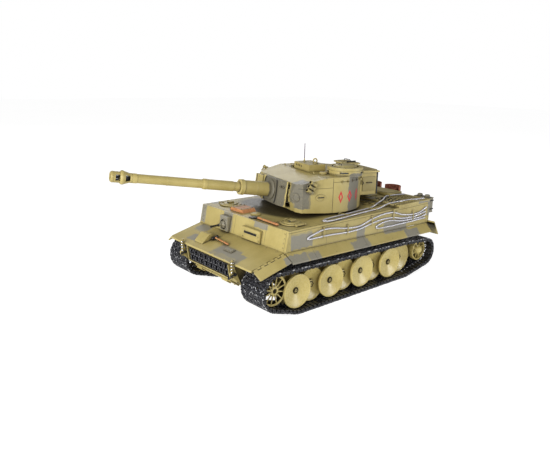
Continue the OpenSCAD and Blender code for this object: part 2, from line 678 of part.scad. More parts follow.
module turret_bin() color(sand) on_turret() {
    difference() {
        box([-107, -38, 124], [-66, 20, 159]);
        translate([0, 0, 100]) cylinder(r = turret_r, h = 80);
        box([-105.2, -36.2, 125.8], [-73.5, 18.2, 160]);
    }
    // overhanging lid
    difference() {
        prism_y([[-109, 159], [-109, 161], [-72, 163], [-66, 163], [-66, 159]], -40, 22);
        translate([0, 0, 100]) cylinder(r = turret_r, h = 80);
    }
}

module smoke_launchers() color(sand) for (s = [-1, 1]) on_turret() side(s) {
    // plate flat on the side wall
    translate([45, 68.1, 144]) rotate([0, 0, -9.6]) translate([-5, 0, 0]) cube([10, 2, 14]);
    translate([46, 0, 0]) {
        for (k = [0:2]) translate([-7 + k * 2.6, 72, 156.4 - k * 5.2]) rotate([0, 62, 12]) difference() {
            cylinder(r = 2.7, h = 12);
            translate([0, 0, 3]) cylinder(r = 1.9, h = 10);
        }
    }
}

hatch_z = 172.4;
loader_x = -47.4;
module loader_hatch() color(sand) on_turret() {
    difference() {
        union() {
            box([-74, -21, hatch_z], [loader_x - 1.6, 17, hatch_z + 2.2]);
            box([-66, -15, roof_z + gap], [-50, 11, hatch_z]);
            box([loader_x - 2, -7.7, hatch_z + 0.4], [loader_x, 3.7, hatch_z + 1.8]);
            cyl_y(loader_x, hatch_z + 1.1, 1.4, -7.7, 3.7);
        }
        cyl_y(loader_x, hatch_z + 1.1, 0.7 + fit, -9, 5);
    }
}

// ---------------------------------------------------------------- gun

face_x = 12;
sleeve_end = 62.1;
step_at = muzzle_x - trunnion_x - 126;
module mantlet() on_gun() {
    color(grey) {
        difference() {
            union() {
                linear_extrude(36.5, center = true) polygon([[6.6, -41.5], [face_x, -25], [face_x, 25], [6.6, 41.5]]);
                box([-4, -38, -12], [7, 38, 12]);
            }
            translate([-10, 0, 0]) rotate([0, 90, 0]) cylinder(r = 6.7 + fit, h = 40);
        }
        for (s = [-1, 1]) side(s) cyl_y(0, 0, 4, 37, 44.6);
    }
    color(sand) difference() {
        union() {
            translate([face_x, 0, 0]) rotate([0, 90, 0]) cylinder(r = 10.4, h = sleeve_end - face_x - 2);
            translate([sleeve_end - 6, 0, 0]) rotate([0, 90, 0]) cylinder(r = 11.2, h = 6);
        }
        translate([0, 0, 0]) rotate([0, 90, 0]) cylinder(r = 6.7 + fit, h = 80);
    }
}

brake_x = muzzle_x - trunnion_x - 28;
module barrel() color(sand) on_gun() rotate([0, 90, 0]) difference() {
    union() {
        translate([0, 0, -16]) cylinder(r = 6.7, h = step_at + 16);
        translate([0, 0, step_at]) cylinder(r = 5.3, h = brake_x - step_at);
        translate([0, 0, brake_x]) cylinder(r = 4, h = 6);
    }
    translate([0, 0, 20]) cylinder(r = 2.6, h = 300);
}

module muzzle_brake() color(sand) on_gun() translate([brake_x, 0, 0]) rotate([0, 90, 0]) difference() {
    rotate_extrude() polygon([[4, 0], [6, 0], [8.8, 3], [8.8, 7.5], [6.8, 10.5], [6.6, 22], [7.6, 24], [7.6, 27.4],
        [7, 28], [2.6, 28], [2.6, 6], [4, 6]]);
    for (s = [-1, 1]) translate([0, s * 6, 10.5]) rotate([0, 90, 0]) translate([-5, -2.6, -10]) cube([4, 5.2, 20]);
    for (s = [-1, 1]) translate([0, s * 6, 17]) rotate([0, 90, 0]) translate([-4.5, -2.6, -10]) cube([4, 5.2, 20]);
}

lower_hull();
upper_hull();
front_plate();
glacis();
skirt(1);  // skirt_left
skirt(-1);  // skirt_right
rear_plate();
engine_deck();
exhausts();
air_filters();
spare_links();
tow_shackles();
tow_cables();
cable_clips();
headlamp();
tools();
track(1);  // track_left
track(-1);  // track_right
axle_arms();
drive_units();
battery();
electronics();
sprocket(1);  // sprocket_left
sprocket(-1);  // sprocket_right
idler(1);  // idler_left
idler(-1);  // idler_right
for (i = [1:8]) {
    wheel_set(1, i);
    wheel_set(-1, i);
}
turret_shell();
roof_box();
antenna();
cupola();
turret_bin();
smoke_launchers();
cupola_lid();
loader_hatch();
mantlet();
barrel();
muzzle_brake();
hatch(1);  // hatch_left
hatch(-1);  // hatch_right
hull_mg();
flap(1);  // flap_left
flap(-1);  // flap_right
rear_flap(1);  // rear_flap_left
rear_flap(-1);  // rear_flap_right
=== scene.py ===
"""Looks of a radio controlled tank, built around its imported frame.

Shapes are gathered in millimetres in the frame's own axes and become metres when a piece is finished.
"""
import json
import math

import bmesh
import bpy
from mathutils import Matrix, Vector


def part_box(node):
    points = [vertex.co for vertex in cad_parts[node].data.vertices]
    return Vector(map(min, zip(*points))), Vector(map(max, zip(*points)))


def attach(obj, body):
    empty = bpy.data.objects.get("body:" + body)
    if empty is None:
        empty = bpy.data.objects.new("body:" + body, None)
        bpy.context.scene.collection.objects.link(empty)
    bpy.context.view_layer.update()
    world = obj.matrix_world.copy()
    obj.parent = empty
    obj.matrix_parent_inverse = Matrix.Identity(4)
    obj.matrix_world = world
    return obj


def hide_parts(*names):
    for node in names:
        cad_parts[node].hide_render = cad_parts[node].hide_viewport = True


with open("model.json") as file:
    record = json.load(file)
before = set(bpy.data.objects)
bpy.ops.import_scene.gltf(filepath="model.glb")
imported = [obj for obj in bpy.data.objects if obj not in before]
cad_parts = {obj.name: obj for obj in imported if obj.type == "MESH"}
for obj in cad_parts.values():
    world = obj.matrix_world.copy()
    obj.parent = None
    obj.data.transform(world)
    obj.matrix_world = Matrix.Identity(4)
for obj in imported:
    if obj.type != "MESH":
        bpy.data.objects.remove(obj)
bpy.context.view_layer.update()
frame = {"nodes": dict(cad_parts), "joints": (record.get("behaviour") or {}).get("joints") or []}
MM = 0.001
scene = bpy.context.scene
nodes = frame["nodes"]
joints = {j["name"]: j for j in frame["joints"]}


# ---------------------------------------------------------------- places taken from the frame

def at(joint):
    """Where a hinge is, in millimetres."""
    return Vector(joints[joint]["pos_m"]) / MM


def low(node):
    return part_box(node)[0] / MM


def high(node):
    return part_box(node)[1] / MM


def axes(x, y, z, origin):
    """Matrix of a frame with these axes at an origin."""
    m = Matrix((x, y, z)).transposed().to_4x4()
    m.translation = origin
    return m


UP = Vector((0, 0, 1))
across = -Vector(joints["gun_elevation"]["axis"]).normalized()
ahead = across.cross(UP)
bore = Vector(joints["barrel_recoil"]["axis"]).normalized()
ring = at("turret_traverse")
TURRET = axes(ahead, across, UP, Vector((ring.x, ring.y, 0)))
trunnion = at("gun_elevation")
GUN = axes(bore, across, bore.cross(across), trunnion)
yaw = math.atan2(ahead.y, ahead.x)
elevation = math.asin(bore.z)

deck_z = high("upper_hull").z
hull_half = high("upper_hull").y
roof_z = low("roof_box").z
rear_x = low("upper_hull").x
bay_z = deck_z + 4                       # top of the raised deck over the engine
plate_top_x = 81.0                       # driver's plate at the deck
plate_low_x = high("upper_hull").x + 4   # and at its foot, where the glacis begins
plate_low_z = 84.2
glacis_x = high("glacis").x
glacis_z = 70.7
fender_drop = 7.2                        # from a fender's front end to its rear end
fender_y = 12.0                          # how far a fender reaches out and down
fender_fall = 11.5
glacis_tilt = math.atan2(plate_low_z - glacis_z, glacis_x - plate_low_x)
plate_tilt = math.atan2(plate_low_x - plate_top_x, deck_z - plate_low_z)
GLACIS = Matrix.Translation((plate_low_x, 0, plate_low_z)) @ Matrix.Rotation(glacis_tilt, 4, "Y")
PLATE = Matrix.Translation((plate_low_x, 0, plate_low_z)) @ Matrix.Rotation(-plate_tilt, 4, "Y")


# ---------------------------------------------------------------- camera, light and floor

def camera():
    """The camera of the photo, fitted to the corners of the hull, turret and gun."""
    az, el, roll = (math.radians(a) for a in (138.944, 15.02, 1.294))
    distance, focal_length, sensor = 0.8876, 36.209, 36
    aim_x, shift_right, shift_up = -0.056, -0.05554, 0.07496
    back = Vector((math.sin(az) * math.cos(el), -math.cos(az) * math.cos(el), math.sin(el)))
    level = (-back).cross(UP).normalized()
    steep = level.cross(-back)
    right = level * math.cos(roll) + steep * math.sin(roll)
    up = steep * math.cos(roll) - level * math.sin(roll)
    aim = Vector((aim_x, 0, 0)) + right * shift_right + up * shift_up
    data = bpy.data.cameras.new("camera")
    data.lens = focal_length
    data.sensor_width = sensor
    data.clip_start = 0.01
    cam = bpy.data.objects.new("camera", data)
    cam.matrix_world = axes(right, up, back, aim + back * distance)
    scene.collection.objects.link(cam)
    scene.camera = cam


def area_light(name, place, size, power, color=(1, 1, 1)):
    data = bpy.data.lights.new(name, "AREA")
    data.shape = "RECTANGLE"
    data.size, data.size_y = size
    data.energy = power
    data.color = color
    lamp = bpy.data.objects.new(name, data)
    lamp.location = place
    lamp.rotation_euler = (Vector((0, 0, 0.09)) - Vector(place)).to_track_quat("-Z", "Y").to_euler()
    scene.collection.objects.link(lamp)


def lights():
    """Warm key light from the front, weak lights from above, the left side and behind."""
    area_light("key", (1.6, 0.35, 0.55), (0.7, 0.7), 24, (1, 0.985, 0.95))
    area_light("top", (0.2, 0.4, 1.8), (1.2, 1.0), 1.4)
    area_light("side", (0.25, 1.7, 0.5), (1.2, 0.45), 4.5)
    area_light("low_side", (-1.1, 1.4, 0.11), (0.55, 0.2), 6)
    area_light("rear", (-1.25, -1.9, 1.05), (0.9, 0.6), 7)


def backdrop():
    """White all round; it lights the object less than it shows."""
    world = bpy.data.worlds.new("studio")
    world.use_nodes = True
    tree = world.node_tree
    dim = tree.nodes["Background"]
    shown = tree.nodes.new("ShaderNodeBackground")
    for node, strength in ((dim, 0.24), (shown, 1.0)):
        node.inputs["Color"].default_value = (1, 1, 1, 1)
        node.inputs["Strength"].default_value = strength
    path = tree.nodes.new("ShaderNodeLightPath")
    both = tree.nodes.new("ShaderNodeMixShader")
    tree.links.new(path.outputs["Is Camera Ray"], both.inputs[0])
    tree.links.new(dim.outputs[0], both.inputs[1])
    tree.links.new(shown.outputs[0], both.inputs[2])
    tree.links.new(both.outputs[0], tree.nodes["World Output"].inputs["Surface"])
    scene.world = world
    scene.view_settings.view_transform = "Standard"


def white_paper():
    """The floor, white out to the horizon."""
    mesh = bpy.data.meshes.new("floor")
    s = 6.0
    mesh.from_pydata([(-s, -s, 0), (s, -s, 0), (s, s, 0), (-s, s, 0)], [], [(0, 1, 2, 3)])
    floor = bpy.data.objects.new("floor", mesh)
    scene.collection.objects.link(floor)
    n = Nodes("floor_paper")
    n.shader(roughness=0.9, specular=0.1)
    grain = n.noise(n.coords(), 900, 2)
    n.link(n.ramp(grain, [(0.3, (0.40, 0.40, 0.40)), (0.7, (0.43, 0.43, 0.43))]), n.bsdf.inputs["Base Color"])
    # light of its own keeps the paper white, and shows more than it lights
    seen = n.new("LightPath").outputs["Is Camera Ray"]
    n.bsdf.inputs["Emission Color"].default_value = (1, 1, 1, 1)
    n.link(n.range(seen, 0, 1, 0.42, 0.88), n.bsdf.inputs["Emission Strength"])
    mesh.materials.append(n.mat)



# ---------------------------------------------------------------- material nodes

class Nodes:
    """A material's node tree, with short calls for what the materials share."""

    def __init__(self, name):
        self.mat = bpy.data.materials.new(name)
        self.mat.use_nodes = True
        self.tree = self.mat.node_tree
        self.bsdf = self.tree.nodes["Principled BSDF"]

    def link(self, a, b):
        self.tree.links.new(a, b)

    def new(self, kind, **settings):
        node = self.tree.nodes.new("ShaderNode" + kind)
        for key, value in settings.items():
            setattr(node, key, value)
        return node

    def put(self, socket, value):
        if isinstance(value, bpy.types.NodeSocket):
            self.link(value, socket)
        else:
            socket.default_value = value

    def shader(self, roughness=0.5, metallic=0.0, coat=0.0, specular=0.5):
        self.bsdf.inputs["Roughness"].default_value = roughness
        self.bsdf.inputs["Metallic"].default_value = metallic
        self.bsdf.inputs["Coat Weight"].default_value = coat
        self.bsdf.inputs["Specular IOR Level"].default_value = specular

    def coords(self, place=(0, 0, 0), turn=(0, 0, 0)):
        """Object coordinates in millimetres in a frame of its own."""
        tex = self.new("TexCoord")
        node = self.new("Mapping", vector_type="TEXTURE")
        node.inputs["Location"].default_value = [c * MM for c in place]
        node.inputs["Rotation"].default_value = turn
        node.inputs["Scale"].default_value = (MM, MM, MM)
        self.link(tex.outputs["Object"], node.inputs["Vector"])
        return node.outputs["Vector"]

    def noise(self, vector, size, detail=4, roughness=0.55):
        """Noise whose features are about size millimetres."""
        node = self.new("TexNoise")
        self.link(vector, node.inputs["Vector"])
        node.inputs["Scale"].default_value = 1 / size
        node.inputs["Detail"].default_value = detail
        node.inputs["Roughness"].default_value = roughness
        return node.outputs["Fac"]

    def math(self, operation, a, b=0.0, clamp=False):
        node = self.new("Math", operation=operation, use_clamp=clamp)
        self.put(node.inputs[0], a)
        self.put(node.inputs[1], b)
        return node.outputs[0]

    def vector(self, operation, a, b):
        node = self.new("VectorMath", operation=operation)
        self.put(node.inputs[0], a)
        self.put(node.inputs[1], b)
        return node.outputs["Vector"]

    def ramp(self, fac, stops):
        node = self.new("ValToRGB")
        elements = node.color_ramp.elements
        while len(elements) < len(stops):
            elements.new(0.5)
        for element, (pos, color) in zip(elements, stops):
            element.position = pos
            element.color = (*color, 1)
        self.put(node.inputs["Fac"], fac)
        return node.outputs["Color"]

    def range(self, value, a, b, lo=0.0, hi=1.0):
        node = self.new("MapRange")
        for key, v in (("Value", value), ("From Min", a), ("From Max", b), ("To Min", lo), ("To Max", hi)):
            self.put(node.inputs[key], v)
        return node.outputs["Result"]

    def mix(self, fac, a, b, blend="MIX"):
        node = self.new("Mix", data_type="RGBA", blend_type=blend)
        self.put(node.inputs["Factor"], fac)
        for key, v in (("A", a), ("B", b)):
            socket = next(s for s in node.inputs if s.name == key and s.type == "RGBA")
            self.put(socket, (*v, 1) if isinstance(v, tuple) else v)
        return next(s for s in node.outputs if s.type == "RGBA")

    def bump(self, height, depth):
        """Bump of a height from 0 to 1 over depth millimetres."""
        node = self.new("Bump")
        node.inputs["Strength"].default_value = 1
        node.inputs["Distance"].default_value = depth * MM
        self.link(height, node.inputs["Height"])
        return node.outputs["Normal"]

    def inside(self, vector, box, soft):
        """1 inside a box (x0, x1, y0, y1, z0, z1), 0 outside, over an edge soft millimetres wide."""
        lo, hi = Vector(box[0::2]), Vector(box[1::2])
        away = self.vector("ABSOLUTE", self.vector("SUBTRACT", vector, (lo + hi) / 2), (0, 0, 0))
        over = self.vector("SUBTRACT", away, (hi - lo) / 2)
        x, y, z = self.split(over)
        worst = self.math("MAXIMUM", self.math("MAXIMUM", x, y), z)
        return self.range(worst, -soft, soft, 1, 0)

    def split(self, vector):
        """The x, y and z of a vector."""
        node = self.new("SeparateXYZ")
        self.link(vector, node.inputs[0])
        return node.outputs

    def any_of(self, vector, boxes, soft):
        total = None
        for box in boxes:
            part = self.inside(vector, box, soft)
            total = part if total is None else self.math("MAXIMUM", total, part)
        return total

    def crevice(self, distance):
        """1 in the open, falling in corners and gaps."""
        node = self.new("AmbientOcclusion", samples=6)
        node.inputs["Distance"].default_value = distance * MM
        return node.outputs["AO"]

    def wear_and_glint(self, normal, radius, flat, edge):
        """0 on flat faces, 1 where the normal rounded over radius millimetres leaves the flat one."""
        bevel = self.new("Bevel", samples=4)
        bevel.inputs["Radius"].default_value = radius * MM
        dot = self.new("VectorMath", operation="DOT_PRODUCT")
        self.link(bevel.outputs[0], dot.inputs[0])
        self.link(normal, dot.inputs[1])
        return self.range(dot.outputs["Value"], flat, edge)

    def crevice_shade(self, base, distance, a, b, amount, color):
        """Painted shade: darkens corners and gaps narrower than about distance millimetres."""
        return self.mix(self.range(self.crevice(distance), a, b, 0, amount), base, color)

    def surface(self, base, grain, rough, depth, span=(0.3, 0.7), height=None):
        """Wires up the colour, the roughness that follows a grain, and the bump."""
        self.link(base, self.bsdf.inputs["Base Color"])
        self.link(self.range(grain, *span, *rough), self.bsdf.inputs["Roughness"])
        self.link(self.bump(grain if height is None else height, depth), self.bsdf.inputs["Normal"])
        return self.mat


SAND = (0.510, 0.420, 0.155)
SAND_DARK = (0.400, 0.318, 0.100)
GREY = (0.330, 0.312, 0.255)
GREYS = ((0.295, 0.285, 0.245), (0.365, 0.352, 0.305))
STREAK = (0.30, 0.235, 0.085)
DUST = (0.62, 0.55, 0.32)
# colour of painted shade in corners, in gaps and under overhangs
PAINTED_SHADE = (0.050, 0.038, 0.018)
EDGE = (0.66, 0.58, 0.33)
SEAM = (0.022, 0.018, 0.01)


def times(color, factor):
    return tuple(c * factor for c in color)


def patch_mask(n, p, patches):
    """1 inside camouflage patches, whose outline is stepped because the place goes in whole steps."""
    wobble = n.new("TexNoise")
    n.link(p, wobble.inputs["Vector"])
    wobble.inputs["Scale"].default_value = 0.16
    wobble.inputs["Detail"].default_value = 2
    shift = n.vector("MULTIPLY", n.vector("SUBTRACT", wobble.outputs["Color"], (0.5, 0.5, 0.5)), (5, 5, 5))
    step = n.vector("SNAP", n.vector("ADD", p, shift), (2.6, 2.6, 2.6))
    return n.any_of(step, patches, 0.5)


def paint(name, patches=(), seams=(), place=(0, 0, 0), turn=(0, 0, 0), marks=None, roughness=0.42, grey=0.0,
          tint=1.0, grey_tint=1.0, shade=0.0, wide_shade=0.0):
    """Satin khaki paint with grey camouflage patches, dark seams, worn edges, dust, and painted shade in
    corners and gaps.
    """
    n = Nodes(name)
    n.shader(roughness=roughness, specular=0.46)
    p = n.coords(place, turn)
    cloud = n.noise(p, 38, 3)
    fine = n.noise(p, 2.2, 3, 0.6)
    base = n.mix(n.range(cloud, 0.32, 0.68), times(SAND_DARK, tint), times(SAND, tint))
    streak = n.noise(n.vector("MULTIPLY", p, (1.0, 1.0, 0.16)), 3.2, 3)
    base = n.mix(n.range(streak, 0.55, 0.8, 0, 0.2), base, STREAK)
    if patches:
        mask = patch_mask(n, p, patches)
        greys = n.mix(cloud, *(times(g, grey_tint) for g in GREYS))
        base = n.mix(n.math("MULTIPLY", mask, 0.93), base, greys)
    elif grey:
        base = n.mix(grey, base, times(GREY, grey_tint))
    base = n.mix(n.range(fine, 0.35, 0.75, 0, 0.12), base, DUST)
    if marks:
        base = marks(n, p, base)
    normal = n.new("NewGeometry").outputs["Normal"]
    rub_and_glint = n.math("MULTIPLY", n.wear_and_glint(normal, 0.5, 0.995, 0.90), n.range(fine, 0.42, 0.62))
    ao = n.crevice(4.5)
    rub_and_glint = n.math("MULTIPLY", rub_and_glint, n.range(ao, 0.5, 0.8, 0, 0.75))
    base = n.mix(rub_and_glint, base, EDGE)
    # painted shade: darker in corners and gaps, such as beside the cables
    base = n.mix(n.range(ao, 0.90, 0.42, 0, 0.88), base, PAINTED_SHADE)
    if shade:
        # deep shade on the deck under whatever overhangs it
        facing_up = n.range(n.split(normal)[2], 0.6, 0.9)
        under = n.math("MULTIPLY", n.range(n.crevice(30), 0.86, 0.34, 0, shade), facing_up)
        base = n.mix(under, base, PAINTED_SHADE)
    # painted shade over gaps a few centimetres wide
    if wide_shade:
        base = n.crevice_shade(base, 34, 0.80, 0.36, wide_shade, PAINTED_SHADE)
    if seams:
        line = n.any_of(p, seams, 0.18)
        base = n.mix(n.math("MULTIPLY", line, 0.9), base, SEAM)
        height = n.math("SUBTRACT", n.math("MULTIPLY", fine, 0.12), line)
    else:
        height = n.math("MULTIPLY", fine, 0.12)
    return n.surface(base, fine, (roughness - 0.07, roughness + 0.1), 0.3, height=height)


def track_metal(name):
    """Blackened links whose raised edges are worn bright and brightened further as painted highlights, with
    painted shade in their gaps.
    """
    n = Nodes(name)
    n.shader(roughness=0.34, specular=0.6, metallic=0.35)
    grain = n.noise(n.coords(), 1.1, 4, 0.6)
    base = n.mix(n.range(grain, 0.38, 0.72), (0.006, 0.006, 0.008), (0.024, 0.025, 0.033))
    normal = n.new("NewGeometry").outputs["Normal"]
    rub_and_glint = n.math("MULTIPLY", n.wear_and_glint(normal, 0.45, 0.99, 0.86), n.range(grain, 0.40, 0.58))
    # edges worn to bright metal, made brighter still as painted highlights
    base = n.mix(n.math("MULTIPLY", rub_and_glint, 0.85), base, (0.50, 0.51, 0.58))
    base = n.crevice_shade(base, 4, 0.7, 0.2, 0.85, (0.003, 0.003, 0.004))
    return n.surface(base, grain, (0.24, 0.46), 0.06, (0.3, 0.75))


def tread_metal(name):
    """Top of the track's tread: black, worn through to bright metal in spots whose near-white colour is
    partly painted glints, with painted shade in its gaps.
    """
    n = Nodes(name)
    n.shader(roughness=0.3, specular=0.7, metallic=0.5)
    spots = n.noise(n.coords(), 3.2, 2, 0.5)
    base = n.mix(n.range(spots, 0.53, 0.58), (0.014, 0.014, 0.018), (0.86, 0.87, 0.9))
    base = n.crevice_shade(base, 3, 0.6, 0.2, 0.8, (0.004, 0.004, 0.005))
    return n.surface(base, spots, (0.42, 0.24), 0.08, (0.4, 0.6))


def bright_wire(name):
    """Polished twisted wire, nearly white where it catches the light, with painted shade between its strands.
    """
    n = Nodes(name)
    n.shader(roughness=0.26, specular=0.7, metallic=0.4)
    grain = n.noise(n.coords(), 0.7, 3)
    base = n.mix(n.range(grain, 0.35, 0.7), (0.72, 0.72, 0.80), (0.94, 0.94, 1.0))
    base = n.crevice_shade(base, 1.2, 0.55, 0.15, 0.75, (0.05, 0.05, 0.075))
    return n.surface(base, grain, (0.2, 0.34), 0.03)


def plastic(name, color, light, roughness=0.35, size=1.5, specular=0.5, metallic=0.0, coat=0.0):
    """Moulded plastic or bare metal: two tones, fine grain and painted shade in corners."""
    n = Nodes(name)
    n.shader(roughness=roughness, specular=specular, metallic=metallic, coat=coat)
    p = n.coords()
    grain = n.noise(p, size, 4, 0.6)
    cloud = n.noise(p, size * 9, 2)
    base = n.mix(n.range(grain, 0.38, 0.72), color, light)
    base = n.mix(n.range(cloud, 0.35, 0.7, 0, 0.35), base, times(color, 0.6))
    base = n.crevice_shade(base, 2.5, 0.7, 0.2, 0.7, times(color, 0.12))
    return n.surface(base, grain, (roughness - 0.1, roughness + 0.12), 0.05, (0.3, 0.75))


def wood(name):
    """Reddish brown painted wood with grain that runs along Y, and painted shade in its corners."""
    n = Nodes(name)
    n.shader(roughness=0.5, specular=0.4)
    grain = n.noise(n.vector("MULTIPLY", n.coords(), (1.0, 0.09, 1.0)), 1.1, 5, 0.65)
    base = n.ramp(grain, [(0.3, (0.36, 0.13, 0.05)), (0.5, (0.56, 0.25, 0.10)), (0.72, (0.72, 0.38, 0.18))])
    base = n.crevice_shade(base, 3, 0.7, 0.2, 0.75, (0.03, 0.015, 0.008))
    return n.surface(base, grain, (0.42, 0.6), 0.12)


def rusty(name):
    """Red brown rust in blotches, with painted shade in its corners."""
    n = Nodes(name)
    n.shader(roughness=0.6, specular=0.35)
    spots = n.noise(n.coords(), 2.4, 6, 0.7)
    base = n.ramp(spots, [(0.32, (0.20, 0.05, 0.03)), (0.5, (0.40, 0.13, 0.08)), (0.68, (0.60, 0.27, 0.19))])
    base = n.crevice_shade(base, 4, 0.7, 0.2, 0.8, (0.02, 0.012, 0.01))
    return n.surface(base, spots, (0.5, 0.75), 0.12)


def deck_shadow(n, p, base):
    """Painted shadow on the deck in front of the turret, below the gun, where the turret and gun shade it."""
    centre = TURRET @ Vector((60, 4, 0))
    flat = n.vector("MULTIPLY", n.vector("SUBTRACT", p, (centre.x, centre.y, 0)), (1.25, 0.72, 0))
    length = n.new("VectorMath", operation="LENGTH")
    n.link(flat, length.inputs[0])
    near = n.range(length.outputs["Value"], 62, 50, 0, 0.93)
    on_deck = n.range(n.split(p)[2], 110.6, 111.3)
    return n.mix(n.math("MULTIPLY", near, on_deck), base, (0.030, 0.024, 0.010))


def red_marks(n, p, base):
    """Three plain outlined lozenges on each side of the turret, and nothing that can be read."""
    x, y, z = n.split(p)
    total = None
    for centre, half in ((-3.5, 4.2), (-20.5, 5.0), (-37, 3.6)):
        dx = n.math("DIVIDE", n.math("ABSOLUTE", n.math("SUBTRACT", x, centre)), half)
        dz = n.math("DIVIDE", n.math("ABSOLUTE", n.math("SUBTRACT", z, 136.5)), 9.4)
        off_line = n.math("ABSOLUTE", n.math("SUBTRACT", n.math("ADD", dx, dz), 0.72))
        one = n.range(off_line, 0.25, 0.31, 1, 0)
        total = one if total is None else n.math("MAXIMUM", total, one)
    outside = n.range(n.math("ABSOLUTE", y), 54, 55)
    total = n.math("MULTIPLY", total, outside)
    worn = n.range(n.noise(p, 1.4, 4), 0.33, 0.42, 0.6, 1)
    return n.mix(n.math("MULTIPLY", total, worn), base, (0.62, 0.02, 0.03))



# patches as (x0, x1, y0, y1, z0, z1) boxes in the hull's frame
HULL_PATCHES = [
    (52, 92, 100, 115, 60, 90), (30, 52, 100, 115, 60, 78), (-72, -34, 100, 115, 60, 90),
    (-192, -158, 100, 115, 60, 90), (38, 77, 90, 99.5, 85, 104), (-68, -50, 90, 99.5, 74, 94),
    (-168, -112, 90, 99.5, 74, 92), (79, 90, -99, -88, 84, 113), (79, 94, -43, -21, 84, 113),
    (55, 90, -50, -22, 110, 113), (79, 86, 27, 56, 103, 113), (60, 84, 14, 46, 110.8, 113),
    (88, 104, -88, -60, 74, 90), (114, 128, -70, -44, 70, 90), (112, 142, 0, 46, 70, 79),
    (118, 142, 46, 62, 70, 90), (-30, 8, 80, 99, 110.8, 113), (-130, -100, -99, -60, 110.8, 113),
    (-222, -196, 60, 99, 110.8, 113), (20, 70, -115, -100, 60, 90), (-60, -20, -99.5, -90, 84, 112),
    (-120, -70, -115, -100, 60, 90), (-210, -170, -99.5, -90, 74, 104), (40, 66, -99.5, -90, 90, 112),
    (-232, -222, -50, 10, 60, 92), (-232, -222, 52, 99, 88, 112), (-20, 20, -96, -60, 110.8, 113),
]
TURRET_PATCHES = [
    (44, 80, 44, 73, 128, 162), (44, 80, 52, 73, 121, 130), (-44, -19, 50, 73, 108, 168),
    (-64, -30, -30, 2, 164, 168), (44, 64, -73, -50, 118, 150), (-30, 6, -73, -55, 112, 150),
    (-73, -55, -30, 20, 126, 166),
]
GUN_PATCHES = [(-6, 16, -19, 37.6, -22, 22)]
HULL_SEAMS = [
    (plate_low_x - 12, plate_low_x + 12, -49.6, -49.2, 86, 110), (79, 93, -13.6, -13.2, 86, 110),
    (79, 93, 54.0, 54.4, 86, 110), (79, 93, 93.6, 94, 86, 110), (79, 93, -94, -93.6, 86, 110),
    (76.6, 77, -96, 96, 110, 113), (22, 22.4, -96, 96, 110, 113), (-134, -133.6, -96, 96, 110, 113),
    (-225, 80, 95.6, 96, 111, 113), (-225, 80, -96, -95.6, 111, 113),
    (12, 12.4, 97, 99, 84, 110), (-96, -95.6, 97, 99, 80, 110), (12, 12.4, -99, -97, 84, 110),
    (-96, -95.6, -99, -97, 80, 110), (-224, 84, 97, 99, 108.8, 109.2), (-224, 84, -99, -97, 108.8, 109.2),
    (-63, -62.6, 99, 112, 60, 90), (40, 40.4, 99, 112, 60, 90), (-160, -159.6, 99, 112, 60, 90),
    (-63, -62.6, -112, -99, 60, 90), (40, 40.4, -112, -99, 60, 90), (-160, -159.6, -112, -99, 60, 90),
]
TURRET_SEAMS = [
    (9.2, 9.9, -75, 75, 114, 164), (-49.3, -48.6, -75, 75, 116, 166), (20.7, 21.4, -73, 73, 163.5, 166),
    (-73, 20, -1.3, -0.7, 164, 166), (18, 66, -60, -59.5, 150, 166), (18, 66, 59.5, 60, 157, 166),
    (-18, 9, 60, 75, 158.3, 158.8), (10, 62, 60, 75, 150.6, 151.0),
]


